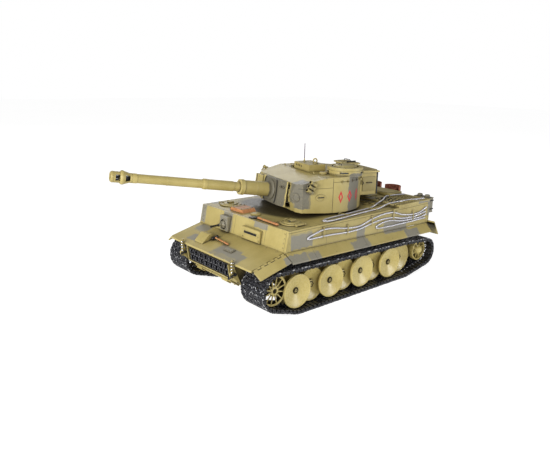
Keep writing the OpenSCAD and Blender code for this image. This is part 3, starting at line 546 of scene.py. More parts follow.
def materials():
    """All materials by the short names that the pieces use."""
    turret_frame = dict(place=TURRET.translation, turn=(0, 0, yaw))
    gun_frame = dict(place=trunnion, turn=(0, -elevation, yaw))
    return {
        "hull": paint("khaki_hull", HULL_PATCHES, HULL_SEAMS, marks=deck_shadow, grey_tint=0.78,
                      tint=1.05, shade=0.92),
        "turret": paint("khaki_turret", TURRET_PATCHES, TURRET_SEAMS, marks=red_marks, grey_tint=0.47,
                        **turret_frame),
        "gun": paint("khaki_gun", GUN_PATCHES, grey_tint=0.36, tint=1.06, **gun_frame),
        # a lighter, lit copy of the khaki: painted light on the bin and on the deck's lugs and teeth
        "bin": paint("khaki_bin_lit", tint=1.42),
        # a darker, shaded copy of the khaki with wide painted shade, for the lower hull behind the wheels
        "tub": paint("khaki_tub_shaded", tint=0.9, wide_shade=0.94),
        "plain": paint("khaki_plain", tint=0.97),
        # a lighter, lit copy of the khaki for all wheels: painted light
        "wheel": paint("khaki_wheel_lit", roughness=0.27, tint=1.45),
        "grey": paint("field_grey", grey=0.92, grey_tint=0.6),
        # a near-black sheet colour standing for shadow on the grille floor and behind the sprockets
        "painted_shadow": plastic("grille_shadow", (0.030, 0.024, 0.013), (0.060, 0.048, 0.026), 0.7, 1.5, 0.2),
        "track": track_metal("track_black"),
        "wire": bright_wire("cable_wire"),
        "tread": tread_metal("track_tread"),
        "hub": plastic("hub_bolts", (0.022, 0.017, 0.010), (0.055, 0.044, 0.025), 0.75, 0.9, 0.15),
        "steel": plastic("bright_steel", (0.62, 0.62, 0.64), (0.85, 0.85, 0.88), 0.24, 0.8, metallic=1.0),
        "dark": plastic("dark_metal", (0.02, 0.02, 0.021), (0.06, 0.06, 0.063), 0.38, 0.9, metallic=0.5),
        "wood": wood("brown_wood"),
        "rust": rusty("exhaust_red"),
        "rubber": plastic("black_rubber", (0.012, 0.012, 0.012), (0.03, 0.03, 0.03), 0.7, 0.7, 0.3),
        "aerial": plastic("aerial_mauve", (0.13, 0.10, 0.14), (0.24, 0.19, 0.26), 0.4, 1.0),
        "glass": plastic("vision_glass", (0.02, 0.03, 0.035), (0.05, 0.07, 0.08), 0.12, 2.0, 0.7, coat=0.5),
        "blue": plastic("battery_blue", (0.03, 0.10, 0.34), (0.05, 0.15, 0.45), 0.25, 3.0),
        "board": plastic("board_green", (0.012, 0.12, 0.04), (0.02, 0.2, 0.07), 0.4, 2.0),
        "black": plastic("black_case", (0.015, 0.015, 0.016), (0.05, 0.05, 0.052), 0.4, 1.0),
    }


# ---------------------------------------------------------------- shapes

IDENTITY = Matrix()


def move(x, y, z):
    return Matrix.Translation((x, y, z))


def turn(degrees, axis):
    return Matrix.Rotation(math.radians(degrees), 4, axis)


def mirrored(sign):
    """The right-hand copy of a left-hand shape, for s = -1."""
    return Matrix.Diagonal((1, sign, 1, 1))


def row(count, start, step, turned=IDENTITY):
    """Places in a straight row."""
    for k in range(count):
        yield move(*(a + k * d for a, d in zip(start, step))) @ turned


LATHE_Y = Matrix.Rotation(math.radians(-90), 4, "X")     # local +Z becomes +Y
LATHE_X = Matrix.Rotation(math.radians(90), 4, "Y")      # local +Z becomes +X
DRAW_X = Matrix(((0, 0, 1, 0), (1, 0, 0, 0), (0, 1, 0, 0), (0, 0, 0, 1)))    # an outline in y, z goes along X
DRAW_Y = Matrix(((1, 0, 0, 0), (0, 0, 1, 0), (0, 1, 0, 0), (0, 0, 0, 1)))    # an outline in x, z goes along Y


def on_circle(r, a):
    return r * math.cos(a), r * math.sin(a)


class Shape:
    """Faces of one piece, in millimetres, each with the number of its material."""

    def __init__(self, m=IDENTITY):
        self.verts, self.faces, self.mats = [], [], []
        self.m = m

    def add(self, verts, faces, mat=0, m=IDENTITY):
        base = len(self.verts)
        whole = self.m @ m
        self.verts += [whole @ Vector(v) for v in verts]
        self.faces += [[base + i for i in f] for f in faces]
        self.mats += [mat] * len(faces)

    def box(self, a, b, mat=0, m=IDENTITY):
        (x0, y0, z0), (x1, y1, z1) = a, b
        verts = [(x, y, z) for x in (x0, x1) for y in (y0, y1) for z in (z0, z1)]
        faces = [(0, 1, 3, 2), (4, 6, 7, 5), (0, 4, 5, 1), (2, 3, 7, 6), (0, 2, 6, 4), (1, 5, 7, 3)]
        self.add(verts, faces, mat, m)

    def prism(self, outline, z0, z1, mat=0, m=IDENTITY):
        """An outline in local x, y drawn from z0 to z1."""
        k = len(outline)
        verts = [(x, y, z) for z in (z0, z1) for x, y in outline]
        faces = [list(range(k))[::-1], list(range(k, 2 * k))]
        faces += [(i, (i + 1) % k, k + (i + 1) % k, k + i) for i in range(k)]
        self.add(verts, faces, mat, m)

    def lathe(self, profile, n=48, mat=0, m=IDENTITY, closed=False):
        """A profile of (radius, height) turned about local Z; a radius of 0 closes an end."""
        rows, verts, faces = [], [], []
        for r, z in profile:
            if r == 0:
                rows.append([len(verts)])
                verts.append((0, 0, z))
            else:
                rows.append(list(range(len(verts), len(verts) + n)))
                verts += [(*on_circle(r, math.tau * k / n), z) for k in range(n)]
        pairs = list(zip(rows, rows[1:])) + ([(rows[-1], rows[0])] if closed else [])
        for a, b in pairs:
            for k in range(n):
                j = (k + 1) % n
                if len(a) == 1 and len(b) == 1:
                    continue
                if len(a) == 1:
                    faces.append((a[0], b[j], b[k]))
                elif len(b) == 1:
                    faces.append((a[k], a[j], b[0]))
                else:
                    faces.append((a[k], a[j], b[j], b[k]))
        self.add(verts, faces, mat, m)

    def rod(self, r, z0, z1, mat=0, m=IDENTITY, n=20, chamfer=0.0):
        c = chamfer
        ends = [(r - c, z0), (r, z0 + c), (r, z1 - c), (r - c, z1)] if c else [(r, z0), (r, z1)]
        self.lathe([(0, z0), *ends, (0, z1)], n, mat, m)

    def bolt(self, r, h, mat=0, m=IDENTITY, n=6):
        """A hexagon head on a small washer."""
        self.lathe([(0, 0), (r * 1.35, 0), (r * 1.35, h * 0.25), (r, h * 0.3)], 14, mat, m)
        self.lathe([(r, h * 0.25), (r, h * 0.85), (r * 0.8, h), (0, h)], n, mat, m)

    def bolts(self, places, r, h, mat=0, m=IDENTITY):
        for place in places:
            self.bolt(r, h, mat, m @ place)

    def rivets(self, places, r, h, mat=0, m=IDENTITY):
        for place in places:
            self.rivet(r, h, mat, m @ place)

    def rivet(self, r, h, mat=0, m=IDENTITY):
        self.lathe([(r, 0), (r * 0.92, h * 0.45), (r * 0.6, h * 0.85), (0, h)], 10, mat, m)

    def tube(self, points, r, n=8, mat=0, m=IDENTITY, closed=False):
        """A round bar along points."""
        pts = [Vector(p) for p in points]
        k = len(pts)
        verts, faces = [], []
        side = None
        for i, p in enumerate(pts):
            a = pts[(i - 1) % k] if closed else pts[max(i - 1, 0)]
            b = pts[(i + 1) % k] if closed else pts[min(i + 1, k - 1)]
            t = (b - a).normalized()
            if side is None:
                side = t.orthogonal().normalized()
            side = (side - t * side.dot(t)).normalized()
            up = t.cross(side)
            for q in range(n):
                c, d = on_circle(1, math.tau * q / n)
                verts.append(p + r * (c * side + d * up))
        for i in range(k if closed else k - 1):
            for q in range(n):
                a, b = i * n, ((i + 1) % k) * n
                faces.append((a + q, a + (q + 1) % n, b + (q + 1) % n, b + q))
        if not closed:
            faces += [tuple(range(n))[::-1], tuple(range((k - 1) * n, k * n))]
        self.add(verts, faces, mat, m)

    def ring(self, big, small, mat=0, m=IDENTITY, n=28, k=8):
        """A torus about local Z."""
        around_bar = [on_circle(small, math.tau * i / k) for i in range(k)]
        self.lathe([(big + x, z) for x, z in around_bar], n, mat, m, closed=True)


def arc_sweep(shape, section, a0, a1, mat=0, m=IDENTITY, n=36):
    """A closed section of (radius, height) swept between two angles in degrees."""
    c = len(section)
    verts = []
    for k in range(n + 1):
        a = math.radians(a0 + (a1 - a0) * k / n)
        verts += [(*on_circle(r, a), z) for r, z in section]
    faces = [tuple(range(c)), tuple(range(c * n + c - 1, c * n - 1, -1))]
    for k in range(n):
        for e in range(c):
            f = (e + 1) % c
            faces.append((c * k + e, c * (k + 1) + e, c * (k + 1) + f, c * k + f))
    shape.add(verts, faces, mat, m)


def curved_wall(shape, r_in, r_out, a0, a1, z0, z1, mat=0, m=IDENTITY, n=36):
    """Part of an upright pipe's wall between two angles in degrees."""
    arc_sweep(shape, [(r_in, z0), (r_out, z0), (r_out, z1), (r_in, z1)], a0, a1, mat, m, n)


def finish(name, shape, body, mats, bevel=0.0, replaces=(), sharp=32, segments=2):
    """Turns a shape into a piece that rides on a body."""
    mesh = bpy.data.meshes.new(name)
    mesh.from_pydata([v * MM for v in shape.verts], [], shape.faces)
    for polygon, index in zip(mesh.polygons, shape.mats):
        polygon.material_index = index
    bm = bmesh.new()
    bm.from_mesh(mesh)
    bmesh.ops.recalc_face_normals(bm, faces=bm.faces)
    bm.to_mesh(mesh)
    bm.free()
    return settle(name, mesh, body, mats, bevel, replaces, sharp, segments)


def settle(name, mesh, body, mats, bevel, replaces, sharp=32, segments=2):
    for mat in mats:
        mesh.materials.append(M[mat])
    mesh.polygons.foreach_set("use_smooth", [True] * len(mesh.polygons))
    mesh.set_sharp_from_angle(angle=math.radians(sharp))
    obj = bpy.data.objects.new(name, mesh)
    scene.collection.objects.link(obj)
    if bevel:
        mod = obj.modifiers.new("edges", "BEVEL")
        mod.width = bevel * MM
        mod.segments = segments
        mod.limit_method = "ANGLE"
        mod.angle_limit = math.radians(sharp)
    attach(obj, body)
    if replaces:
        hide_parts(*replaces)
    return obj


def rounded(node, body, mat, width=0.35):
    """Stands for a CAD node with the same shape and rounded edges."""
    mesh = nodes[node].data.copy()
    mesh.materials.clear()
    bm = bmesh.new()
    bm.from_mesh(mesh)
    bmesh.ops.remove_doubles(bm, verts=bm.verts, dist=2e-6)
    bmesh.ops.dissolve_limit(bm, angle_limit=math.radians(0.6), verts=bm.verts, edges=bm.edges)
    bm.to_mesh(mesh)
    bm.free()
    for polygon in mesh.polygons:
        polygon.material_index = 0
    return settle(node + "_shell", mesh, body, [mat], width, (node,))


def dress(node, *mats):
    """Gives a CAD node that stays a material."""
    obj = nodes[node]
    obj.data.materials.clear()
    for mat in mats:
        obj.data.materials.append(M[mat])
    obj.data.polygons.foreach_set("use_smooth", [True] * len(obj.data.polygons))
    obj.data.set_sharp_from_angle(angle=math.radians(32))


camera()
lights()
backdrop()
white_paper()
M = materials()


# ---------------------------------------------------------------- track

BELT_IN = 2.6                    # from the belt's inner face to its middle line
stops = []                       # centre and inner radius of each turn of the belt
for node, radius in (("sprocket_left", 21.3), ("wheel_left_8", 24.1), ("idler_left", 17.5),
                     ("wheel_left_8", 24.1), ("wheel_left_1", 24.1)):
    hub = at(node + "_spin")
    stops.append((hub.x, hub.z, radius))
LINKS = 103                      # in each belt
TEETH = 20                       # on each sprocket ring
TRACK_IN, TRACK_OUT = low("track_left").y, high("track_left").y
GROOVES = (73.0, 95.3)           # where the sprocket's teeth enter the links


def leave(i):
    (ax, az, ar), (bx, bz, br) = stops[i], stops[(i + 1) % len(stops)]
    return math.atan2(bz - az, bx - ax) - math.acos((ar - br) / math.hypot(bx - ax, bz - az))


def belt_runs():
    """Arcs and straights of the middle line: (length, kind, start data)."""
    runs = []
    for i, (x, z, r) in enumerate(stops):
        start, end = leave(i - 1), leave(i)
        swing = (end - start) % math.tau
        radius = r + BELT_IN
        runs.append((swing * radius, "arc", (x, z, radius, start)))
        nx, nz, nr = stops[(i + 1) % len(stops)]
        a = Vector((x, z)) + radius * Vector((math.cos(end), math.sin(end)))
        b = Vector((nx, nz)) + (nr + BELT_IN) * Vector((math.cos(end), math.sin(end)))
        runs.append(((b - a).length, "line", (a, b, end)))
    return runs


def belt_place(s, runs):
    """Matrix of a link at distance s: local X along the belt, Y across it, Z outward."""
    s %= sum(r[0] for r in runs)
    for length, kind, data in runs:
        if s <= length:
            break
        s -= length
    if kind == "arc":
        x, z, radius, start = data
        a = start + s / radius
        p = Vector((x + radius * math.cos(a), 0, z + radius * math.sin(a)))
    else:
        begin, end, a = data
        q = begin.lerp(end, s / length)
        p = Vector((q.x, 0, q.y))
    out = Vector((math.cos(a), 0, math.sin(a)))
    along = Vector((-math.sin(a), 0, math.cos(a)))
    return axes(along, out.cross(along), out, p)


def link_shape(flip):
    """One track link with tooth windows, pads, guide horns and a zigzag tread."""
    h = 3.45                     # half of a link's length
    shape = Shape()
    half = 2.5                   # half of a tooth window's width
    spans = ((TRACK_IN, GROOVES[0] - half), (GROOVES[0] + half, GROOVES[1] - half),
             (GROOVES[1] + half, TRACK_OUT))
    for y0, y1 in spans:
        shape.box((-h, y0, 0.5), (h, y1, 2.0))
        shape.box((-2.3, y0 + 0.4, -2.5), (2.3, y1 - 0.4, 0.5))
    for y in GROOVES:
        for x in (-h, 2.3):
            shape.box((x, y - half, 0.5), (x + 1.15, y + half, 2.0))
    for y in (82.2, 89.55):
        shape.prism([(-2.4, -2.5), (-1.1, -5.6), (1.1, -5.6), (2.4, -2.5)], -0.3, 0.3, 0,
                    move(0, y, 0) @ turn(90, "X"))
    # hinge knuckles between the links, with a pin head at each end
    for k in range(7):
        y = TRACK_IN + 0.8 + k * 6.36
        shape.rod(1.15, y, y + 5.2, 0, move(h + 0.28, 0, 0.9) @ LATHE_Y, 8)
    for y0, y1 in ((TRACK_IN - 0.1, TRACK_IN + 0.9), (TRACK_OUT - 0.9, TRACK_OUT + 0.1)):
        shape.rod(0.9, y0, y1, 1, move(h + 0.28, 0, 0.9) @ LATHE_Y, 8, 0.2)
    # zigzag tread
    count = 10
    step = (TRACK_OUT - TRACK_IN - 2.4) / count
    for k in range(count):
        y = TRACK_IN + 1.2 + k * step
        up = (k % 2 == 0) != flip
        a, b = (-2.6, 2.6) if up else (2.6, -2.6)
        foot, crest = ([(a - w, y, z), (a + w, y, z), (b + w, y + step, z), (b - w, y + step, z)]
                       for w, z in ((0.7, 1.9), (0.5, 2.9)))
        shape.add(foot + crest, [(0, 1, 2, 3), (0, 1, 5, 4), (1, 2, 6, 5), (2, 3, 7, 6), (3, 0, 4, 7)])
        # crests and the strips below take the tread metal, with its painted glints
        shape.add(crest, [(0, 1, 2, 3)], 2)
    for y in (TRACK_IN + 0.1, TRACK_OUT - 1.2):
        shape.box((-h + 0.4, y, 1.9), (h - 0.4, y + 1.1, 2.8), 2)
    shape.box((-0.4, TRACK_IN + 1, 1.9), (0.4, TRACK_OUT - 1, 2.3))
    return shape


def track(side, sign):
    runs = belt_runs()
    length = sum(r[0] for r in runs)
    pitch = length / LINKS
    # a tooth stands in the middle of a link's window
    radius, start = runs[0][2][2:]
    tooth = math.ceil(math.degrees(start) / (360 / TEETH)) * math.tau / TEETH
    first = (tooth - start) * radius
    shape = Shape()
    for flip in (False, True):
        one = link_shape(flip)
        for k in range(LINKS):
            if k % 2 == flip:
                shape.m = mirrored(sign) @ belt_place(first + k * pitch, runs)
                base = len(shape.verts)
                shape.add(one.verts, [])
                shape.faces += [[base + i for i in f] for f in one.faces]
                shape.mats += one.mats
    finish(f"track_links_{side}", shape, "hull", ["track", "dark", "tread"],
           replaces=[f"track_{side}"])


# ---------------------------------------------------------------- wheels

def hub_frame(joint, sign):
    """Wheel frame: local Z out of the hull's side, origin on the axle at y = 0."""
    p = at(joint)
    return mirrored(sign) @ move(p.x, 0, p.z) @ LATHE_Y


def around(count, radius, phase=0.0):
    """Places on a circle, each turned to face outward."""
    for k in range(count):
        a = phase + math.tau * k / count
        yield move(*on_circle(radius, a), 0) @ Matrix.Rotation(a, 4, "Z")


HUB_IN = 66                      # inner end of each wheel's hub, from the middle of the hull


def dish(shape, r, face, m, raised):
    """A thin dished disc whose rim's outer face is at height face, with a raised or a sunk hub."""
    deep = 4.7
    front = [(r - 2.4, -0.75), (6.2, -deep), (5.8, -deep - 0.1)]
    front += [(5.6, -1.4), (5.2, -1.2), (0, -1.2)] if raised else [(4.6, -deep - 0.15), (0, -deep + 0.2)]
    profile = [(0, -6), (6.9, -6), (r - 3, -2.4), (r - 2.4, -3.6), (r - 0.5, -3.7), (r, -3.3), (r, -0.5),
               (r - 0.35, -0.1), (r - 0.8, 0), (r - 1.5, 0), (r - 1.9, -0.2)] + front
    shape.lathe([(q, face + h) for q, h in profile], 80, 0, m)


def road_wheel(side, sign, i):
    """Two dished discs on a hub; odd wheels stand further out, with a sunk hub."""
    node = f"wheel_{side}_{i}"
    m = hub_frame(node + "_spin", sign)
    odd = i % 2 == 1
    outer, inner = (104.2, 89.0) if odd else (96.6, 81.4)
    r = 23.5
    shape = Shape()
    dish(shape, r, outer, m, not odd)
    dish(shape, r, inner, m, True)
    shape.lathe([(6.6, HUB_IN), (6.6, inner - 5)], 32, 0, m)
    shape.lathe([(2.6, HUB_IN), (6.6, HUB_IN)], 32, 0, m)
    shape.lathe([(6.6, inner - 4.5), (6.6, outer - 5)], 32, 0, m)
    top = outer - (4.5 if odd else 1.2)
    shape.lathe([(3.0, top), (3.2, top + 0.45), (4.2, top + 0.45), (4.5, top - 0.1)], 36, 1, m)
    shape.bolts(around(6, 3.7 if odd else 4.1), 0.5, 0.5, 1, m @ move(0, 0, top + 0.35))
    shape.lathe([(2.5, top - 0.2), (2.5, top + 0.4), (1.3, top + 0.6)], 6, 0, m)
    shape.lathe([(1.3, top + 0.6), (1.1, top - 0.2), (0, top - 0.2)], 12, 1, m)
    # rivets inside the rim hold its two halves together
    shape.rivets(around(24, r - 4.2, 0.1), 0.25, 0.2, 0, m @ move(0, 0, outer - 1.15))
    finish(node + "_disc", shape, node, ["wheel", "hub"], replaces=[node], sharp=28)


def sprocket(side, sign):
    """Two toothed rings with twelve spokes each on a stepped hub."""
    node = f"sprocket_{side}"
    m = hub_frame(node + "_spin", sign)
    shape = Shape()
    # the inner ring, the rims' inner walls and the inner hub take the dark hub colour as painted shade behind
    # the spokes
    for tooth, face, mat in ((97.3, 101.2, 0), (75.0, 75.0, 1)):
        b = tooth - 3.6
        shape.lathe([(17.9, b), (20.4, b), (20.8, b + 0.4), (20.8, face - 0.5), (20.3, face), (18.6, face),
                     (17.9, face - 0.8)], 96, mat, m)
        shape.lathe([(17.9, face - 0.8), (17.9, b)], 96, 1, m)
        for k in range(TEETH):
            q = m @ Matrix.Rotation(math.tau * k / TEETH, 4, "Z")
            outline = [(20.4, -2.0), (21.3, -1.6), (22.6, -1.0), (23.4, -0.5), (23.6, 0), (23.4, 0.5),
                       (22.6, 1.0), (21.3, 1.6), (20.4, 2.0)]
            shape.prism(outline, tooth - 3.2, tooth - 0.9, 0, q)
        for k in range(12):
            q = m @ Matrix.Rotation(math.tau * (k + 0.5) / 12, 4, "Z")
            shape.prism([(6.4, -0.95), (11, -0.6), (18.2, -0.5), (18.2, 0.5), (11, 0.6), (6.4, 0.95)],
                        face - 1.7, face - 0.5, mat, q)
        shape.rivets(around(12, 19.4), 0.4, 0.3, 1, m @ move(0, 0, face))
    shape.lathe([(0, HUB_IN), (8, HUB_IN), (8, 71.5), (8.4, 72), (8.4, 74.6), (7.0, 75.4), (5.0, 76),
                 (5.0, 92)], 48, 1, m)
    shape.lathe([(5.0, 92), (6.2, 95), (7.2, 98.4), (7.2, 100.8), (6.7, 101.4), (5.8, 101.7), (5.0, 102.0),
                 (3.4, 102.0), (2.9, 100.4), (0, 100.4)], 48, 0, m)
    shape.lathe([(2.9, 100.5), (0, 100.5)], 32, 1, m)
    shape.bolts(around(8, 6.3), 0.5, 0.6, 1, m @ move(0, 0, 101.5))
    shape.bolt(1.5, 1.0, 1, m @ move(0, 0, 100.4))
    shape.rod(2.9, 46, 67, 1, m, 24)
    finish(node + "_wheel", shape, node, ["wheel", "hub"], replaces=[node])


def idler(side, sign):
    """Two rims with eight spokes each on a domed hub."""
    node = f"idler_{side}"
    m = hub_frame(node + "_spin", sign)
    shape = Shape()
    r = 17.0
    for b, face in ((90.0, 97.0), (72.0, 79.0)):
        shape.lathe([(r - 2.3, b), (r - 0.3, b), (r, b + 0.3), (r, face - 0.3), (r - 0.3, face),
                     (r - 1.8, face), (r - 2.3, face - 0.5)], 72, 0, m, closed=True)
        for k in range(8):
            q = m @ Matrix.Rotation(math.tau * (k + 0.5) / 8, 4, "Z")
            shape.prism([(6.0, -0.9), (14.9, -0.6), (14.9, 0.6), (6.0, 0.9)], face - 3.4, face - 1.8, 0, q)
    shape.lathe([(2.6, HUB_IN), (6, HUB_IN), (6, 73), (7.6, 74), (7.6, 76.6), (6, 77.4), (6, 91.5),
                 (8.2, 92.4), (8.2, 95.2), (7.6, 95.9), (7.2, 96.0), (6.9, 97.4), (6.0, 98.9), (4.4, 100.1),
                 (2.4, 100.8), (0, 101.0)], 48, 0, m)
    shape.bolts(around(8, 7.7), 0.4, 0.5, 1, m @ move(0, 0, 95.4))
    finish(node + "_wheel", shape, node, ["wheel", "dark"], replaces=[node])


def running_gear():
    """Both tracks with their wheels."""
    for side, sign in (("left", 1), ("right", -1)):
        track(side, sign)
        sprocket(side, sign)
        idler(side, sign)
        for i in range(1, 9):
            road_wheel(side, sign, i)


def swing_arms():
    """Axles with their nuts, arms and bushes; the outer wheels' axles are the longer ones."""
    arm_x, arm_z = 12, 10.2
    long_end, short_end = 101, 93.6
    slope = turn(-math.degrees(math.atan2(arm_z, arm_x)), "Y")
    arms = Shape()
    for sign in (1, -1):
        for i in range(8):
            p = at(f"wheel_left_{i + 1}_spin")
            m = mirrored(sign) @ move(p.x, 0, p.z)
            end = long_end if i % 2 == 0 else short_end
            arms.rod(2.5, 60, end - 1.4, 1, m @ LATHE_Y, 20, 0.2)
            arms.lathe([(2.4, end - 1.5), (2.4, end - 0.3), (2.1, end), (0.9, end)], 6, 0, m @ LATHE_Y)
            arms.lathe([(0.9, end), (0.8, end - 0.6), (0, end - 0.6)], 12, 1, m @ LATHE_Y)
            arms.rod(4, 58.4, 65.2, 0, m @ LATHE_Y, 28, 0.4)
            arms.rod(4.4, 58.1, 62.4, 0, m @ move(arm_x, 0, arm_z) @ LATHE_Y, 28, 0.5)
            arms.bolt(1.6, 1.0, 1, m @ move(arm_x, 62.4, arm_z) @ LATHE_Y)
            arms.prism([(0, -3.6), (15.7, -4.1), (15.7, 4.1), (0, 3.6)], 0, 3.6, 0,
                       m @ move(0, 58.6, 0) @ slope @ turn(90, "X") @ move(0, 0, -3.6))
        p = at("idler_left_spin")
        m = mirrored(sign) @ move(p.x, 0, p.z)
        arms.rod(2.5, 60, 96.4, 1, m @ LATHE_Y, 20, 0.2)
        arms.rod(4, 58.1, 62.4, 0, m @ move(0, 0, 4) @ LATHE_Y, 28, 0.5)
        arms.box((-4, 58.4, -3), (4, 62.2, 8), 0, m)
    # the arms and bushes take the lower hull's shaded khaki copy
    finish("swing_arms", arms, "hull", ["tub", "hub"], replaces=["axle_arms"])


# ---------------------------------------------------------------- hull

def skirt_frame(sign):
    """Local X forward along a fender's top edge, Y down its slope, Z off its surface."""
    along = Vector((plate_low_x - 1 - rear_x, 0, fender_drop)).normalized()
    slope = Vector((0, fender_y, -fender_fall)).normalized()
    slope = (slope - along * slope.dot(along)).normalized()
    corner = Vector((plate_low_x - 1, hull_half, plate_low_z))
    return mirrored(sign) @ axes(along, slope, along.cross(slope), corner)


def mesh_screen(shape, x0, x1, y0, y1, z, step=3.2, mat=1):
    """Crossed diagonal wires over a grille."""
    w, h = x1 - x0, y1 - y0
    for slope in (1, -1):
        k = -h
        while k < w:
            a, b = max(0.0, k), min(w, k + h)
            if b - a > 0.5:
                ya, yb = a - k, b - k
                pts = [(x0 + a, (y0 + ya) if slope > 0 else (y1 - ya), z),
                       (x0 + b, (y0 + yb) if slope > 0 else (y1 - yb), z)]
                shape.tube(pts, 0.22, 4, mat)
            k += step


def lifting_hook(shape, m, mat=0):
    """A bar bent into a low loop."""
    shape.tube([(0, 0, 0), (0, 0, 1.6), (0.6, 0, 2.8), (2, 0, 3.3), (3.4, 0, 2.8), (4, 0, 1.6), (4, 0, 0)],
               0.5, 8, mat, m)


def hull_shell():
    """The hull's plates, fenders and mudguards: CAD shapes with rounded edges."""
    # the lower hull takes the shaded khaki copy: painted shade behind the running gear
    rounded("lower_hull", "hull", "tub", 0.5)
    for node, width in (("upper_hull", 0.45), ("front_plate", 0.4), ("glacis", 0.25), ("skirt_left", 0.3),
                        ("skirt_right", 0.3), ("rear_plate", 0.4)):
        rounded(node, "hull", "hull", width)
    rounded("headlamp", "hull", "plain", 0.6)
    rounded("tow_shackles", "hull", "hull", 0.3)
    for side in ("left", "right"):
        rounded(f"flap_{side}", f"flap_{side}", "hull", 0.2)
        rounded(f"rear_flap_{side}", f"rear_flap_{side}", "hull", 0.25)


def side_bolts(shape, side):
    """Bolts, rivets and a weld bead on one side of the hull."""
    m = mirrored(side)
    # along the top of the sides and round the engine bay
    shape.rivets(row(13, (rear_x + 12, hull_half, deck_z - 4.6), (24, 0, 0), LATHE_Y), 0.75, 0.5, 0, m)
    shape.bolts(row(18, (-138, 95.8, deck_z), (12, 0, 0)), 0.6, 0.45, 0, m)
    # fender bolts and their fixing strip
    f = skirt_frame(side)
    shape.bolts(row(15, (-8, 2.2, 0), (-20.8, 0, 0)), 0.55, 0.45, 0, f)
    shape.bolts(row(5, (-22, 13.4, 0), (-62, 0, 0)), 0.6, 0.5, 0, f)
    bead_z = plate_low_z + 0.9 - fender_drop
    bead = [(rear_x + 2 + k * 9, hull_half + 0.15, bead_z + fender_drop * k / 34) for k in range(34)]
    shape.tube(bead, 0.5, 6, 0, m)
    # front plate's edge
    shape.bolts(row(4, (0, side * 91, 5), (0, 0, 6), LATHE_X), 0.8, 0.7, 0, PLATE)
    # hull tub
    shape.rivets(row(11, (94, 58, 52), (-31, 0, 0), LATHE_Y), 0.9, 0.5, 0, m)
    p = at("sprocket_left_spin")
    for k in range(6):
        x, z = on_circle(13, math.tau * k / 6)
        shape.bolt(1.0, 0.9, 0, m @ move(p.x + x, 58, p.z + z) @ LATHE_Y)
    # housing behind the sprocket in the dark shadow colour: painted shade behind the spokes
    shape.lathe([(16, 0), (16, 1.6), (15.4, 2.2), (8, 3.4), (6, 5), (4, 5), (4, 2)], 40, 1,
                m @ move(p.x, 58, p.z) @ LATHE_Y)


def hull_bolts():
    """Bolts and rivets on the hull, the guard round the turret ring and the ventilator."""
    shape = Shape()
    for side in (1, -1):
        side_bolts(shape, side)
    # glacis bolts along its rear edge and its nose
    for k in range(9):
        shape.bolt(0.75, 0.6, 0, GLACIS @ move(3.4, -84 + k * 21, 0))
        shape.rivet(0.6, 0.4, 0, GLACIS @ move(51.6, -52 + k * 13, 0))
    # turret ring guard, bolted round the opening
    for k in range(28):
        x, y = on_circle(49.2, math.tau * k / 28)
        shape.bolt(0.7, 0.5, 0, move(ring.x + x, y, deck_z))
    shape.lathe([(46.2, 0), (46.2, 1.0), (51.6, 1.0), (52.2, 0.5), (52.2, 0)], 96, 0, move(ring.x, 0, deck_z))
    # ventilator between the two hatches
    shape.lathe([(7.6, 0), (7.6, 1.2), (7.0, 1.8), (5.4, 2.2), (0, 2.6)], 36, 0, move(58, 2, deck_z))
    shape.bolts(around(6, 6.3), 0.45, 0.4, 0, move(58, 2, deck_z + 1.9))
    finish("hull_bolts", shape, "hull", ["hull", "painted_shadow"])


NOSE_FOOT = move(133, 0, 43) @ turn(math.degrees(math.atan2(4.5, 25.3)), "Y")     # local Z up the nose plate


def spare_track():
    """Two rows of spare links on the nose."""
    shape = Shape(NOSE_FOOT)
    for row in range(2):
        z = 6.5 + row * 9
        for i in range(8):
            y = (i - 3.5) * 11.6
            shape.box((0, y - 5.2, z + 0.4), (1.9, y + 5.2, z + 7.6))
            for e in (-1, 1):
                web = [(y + e * 4.6, z + 1), (y + e * 1.4, z + 4), (y + e * 4.6, z + 7)]
                shape.prism(web, 1.8, 3.1, 0, DRAW_X)
            shape.box((1.8, y - 0.8, z + 0.8), (4.6, y + 0.8, z + 7.2))
            for knuckle in (y - 5.6, y + 2.2):
                shape.rod(1.0, knuckle, knuckle + 3.4, 0, move(1.6, 0, z - 0.2) @ LATHE_Y, 10)
    for z in (15.2, 6.2):
        shape.rod(0.7, -47, 47, 1, move(1.8, 0, z) @ LATHE_Y, 12)
    finish("spare_track", shape, "hull", ["track", "steel"], bevel=0.18,
           replaces=["spare_links"], segments=1)


def links_holder():
    """Frame that the spare links stand in."""
    shape = Shape(NOSE_FOOT)
    for y in (-49.5, 48.3):
        shape.box((0, y, 5.4), (4.4, y + 1.2, 24.6))
    shape.box((0, -49.5, 4.0), (4.2, 49.5, 5.4))
    shape.bolts(row(5, (4.2, -40, 4.7), (0, 20, 0), LATHE_X), 0.8, 0.7)
    finish("links_holder", shape, "hull", ["hull"], bevel=0.25)


def nose_beam():
    """Lower edge of the nose with two towing plates."""
    low_beam = Shape(move(116, 0, 29) @ turn(-35, "Y"))
    low_beam.box((2, -42, -0.6), (19, 42, 1.6))
    for k in range(6):
        low_beam.bolt(1.0, 0.9, 0, move(5, -36 + k * 14.4, -0.6) @ turn(180, "X"))
    for y in (-30, 30):
        low_beam.box((12, y - 6, -2.6), (19.6, y + 6, 2.2))
    finish("nose_beam", low_beam, "hull", ["hull"], bevel=0.35)


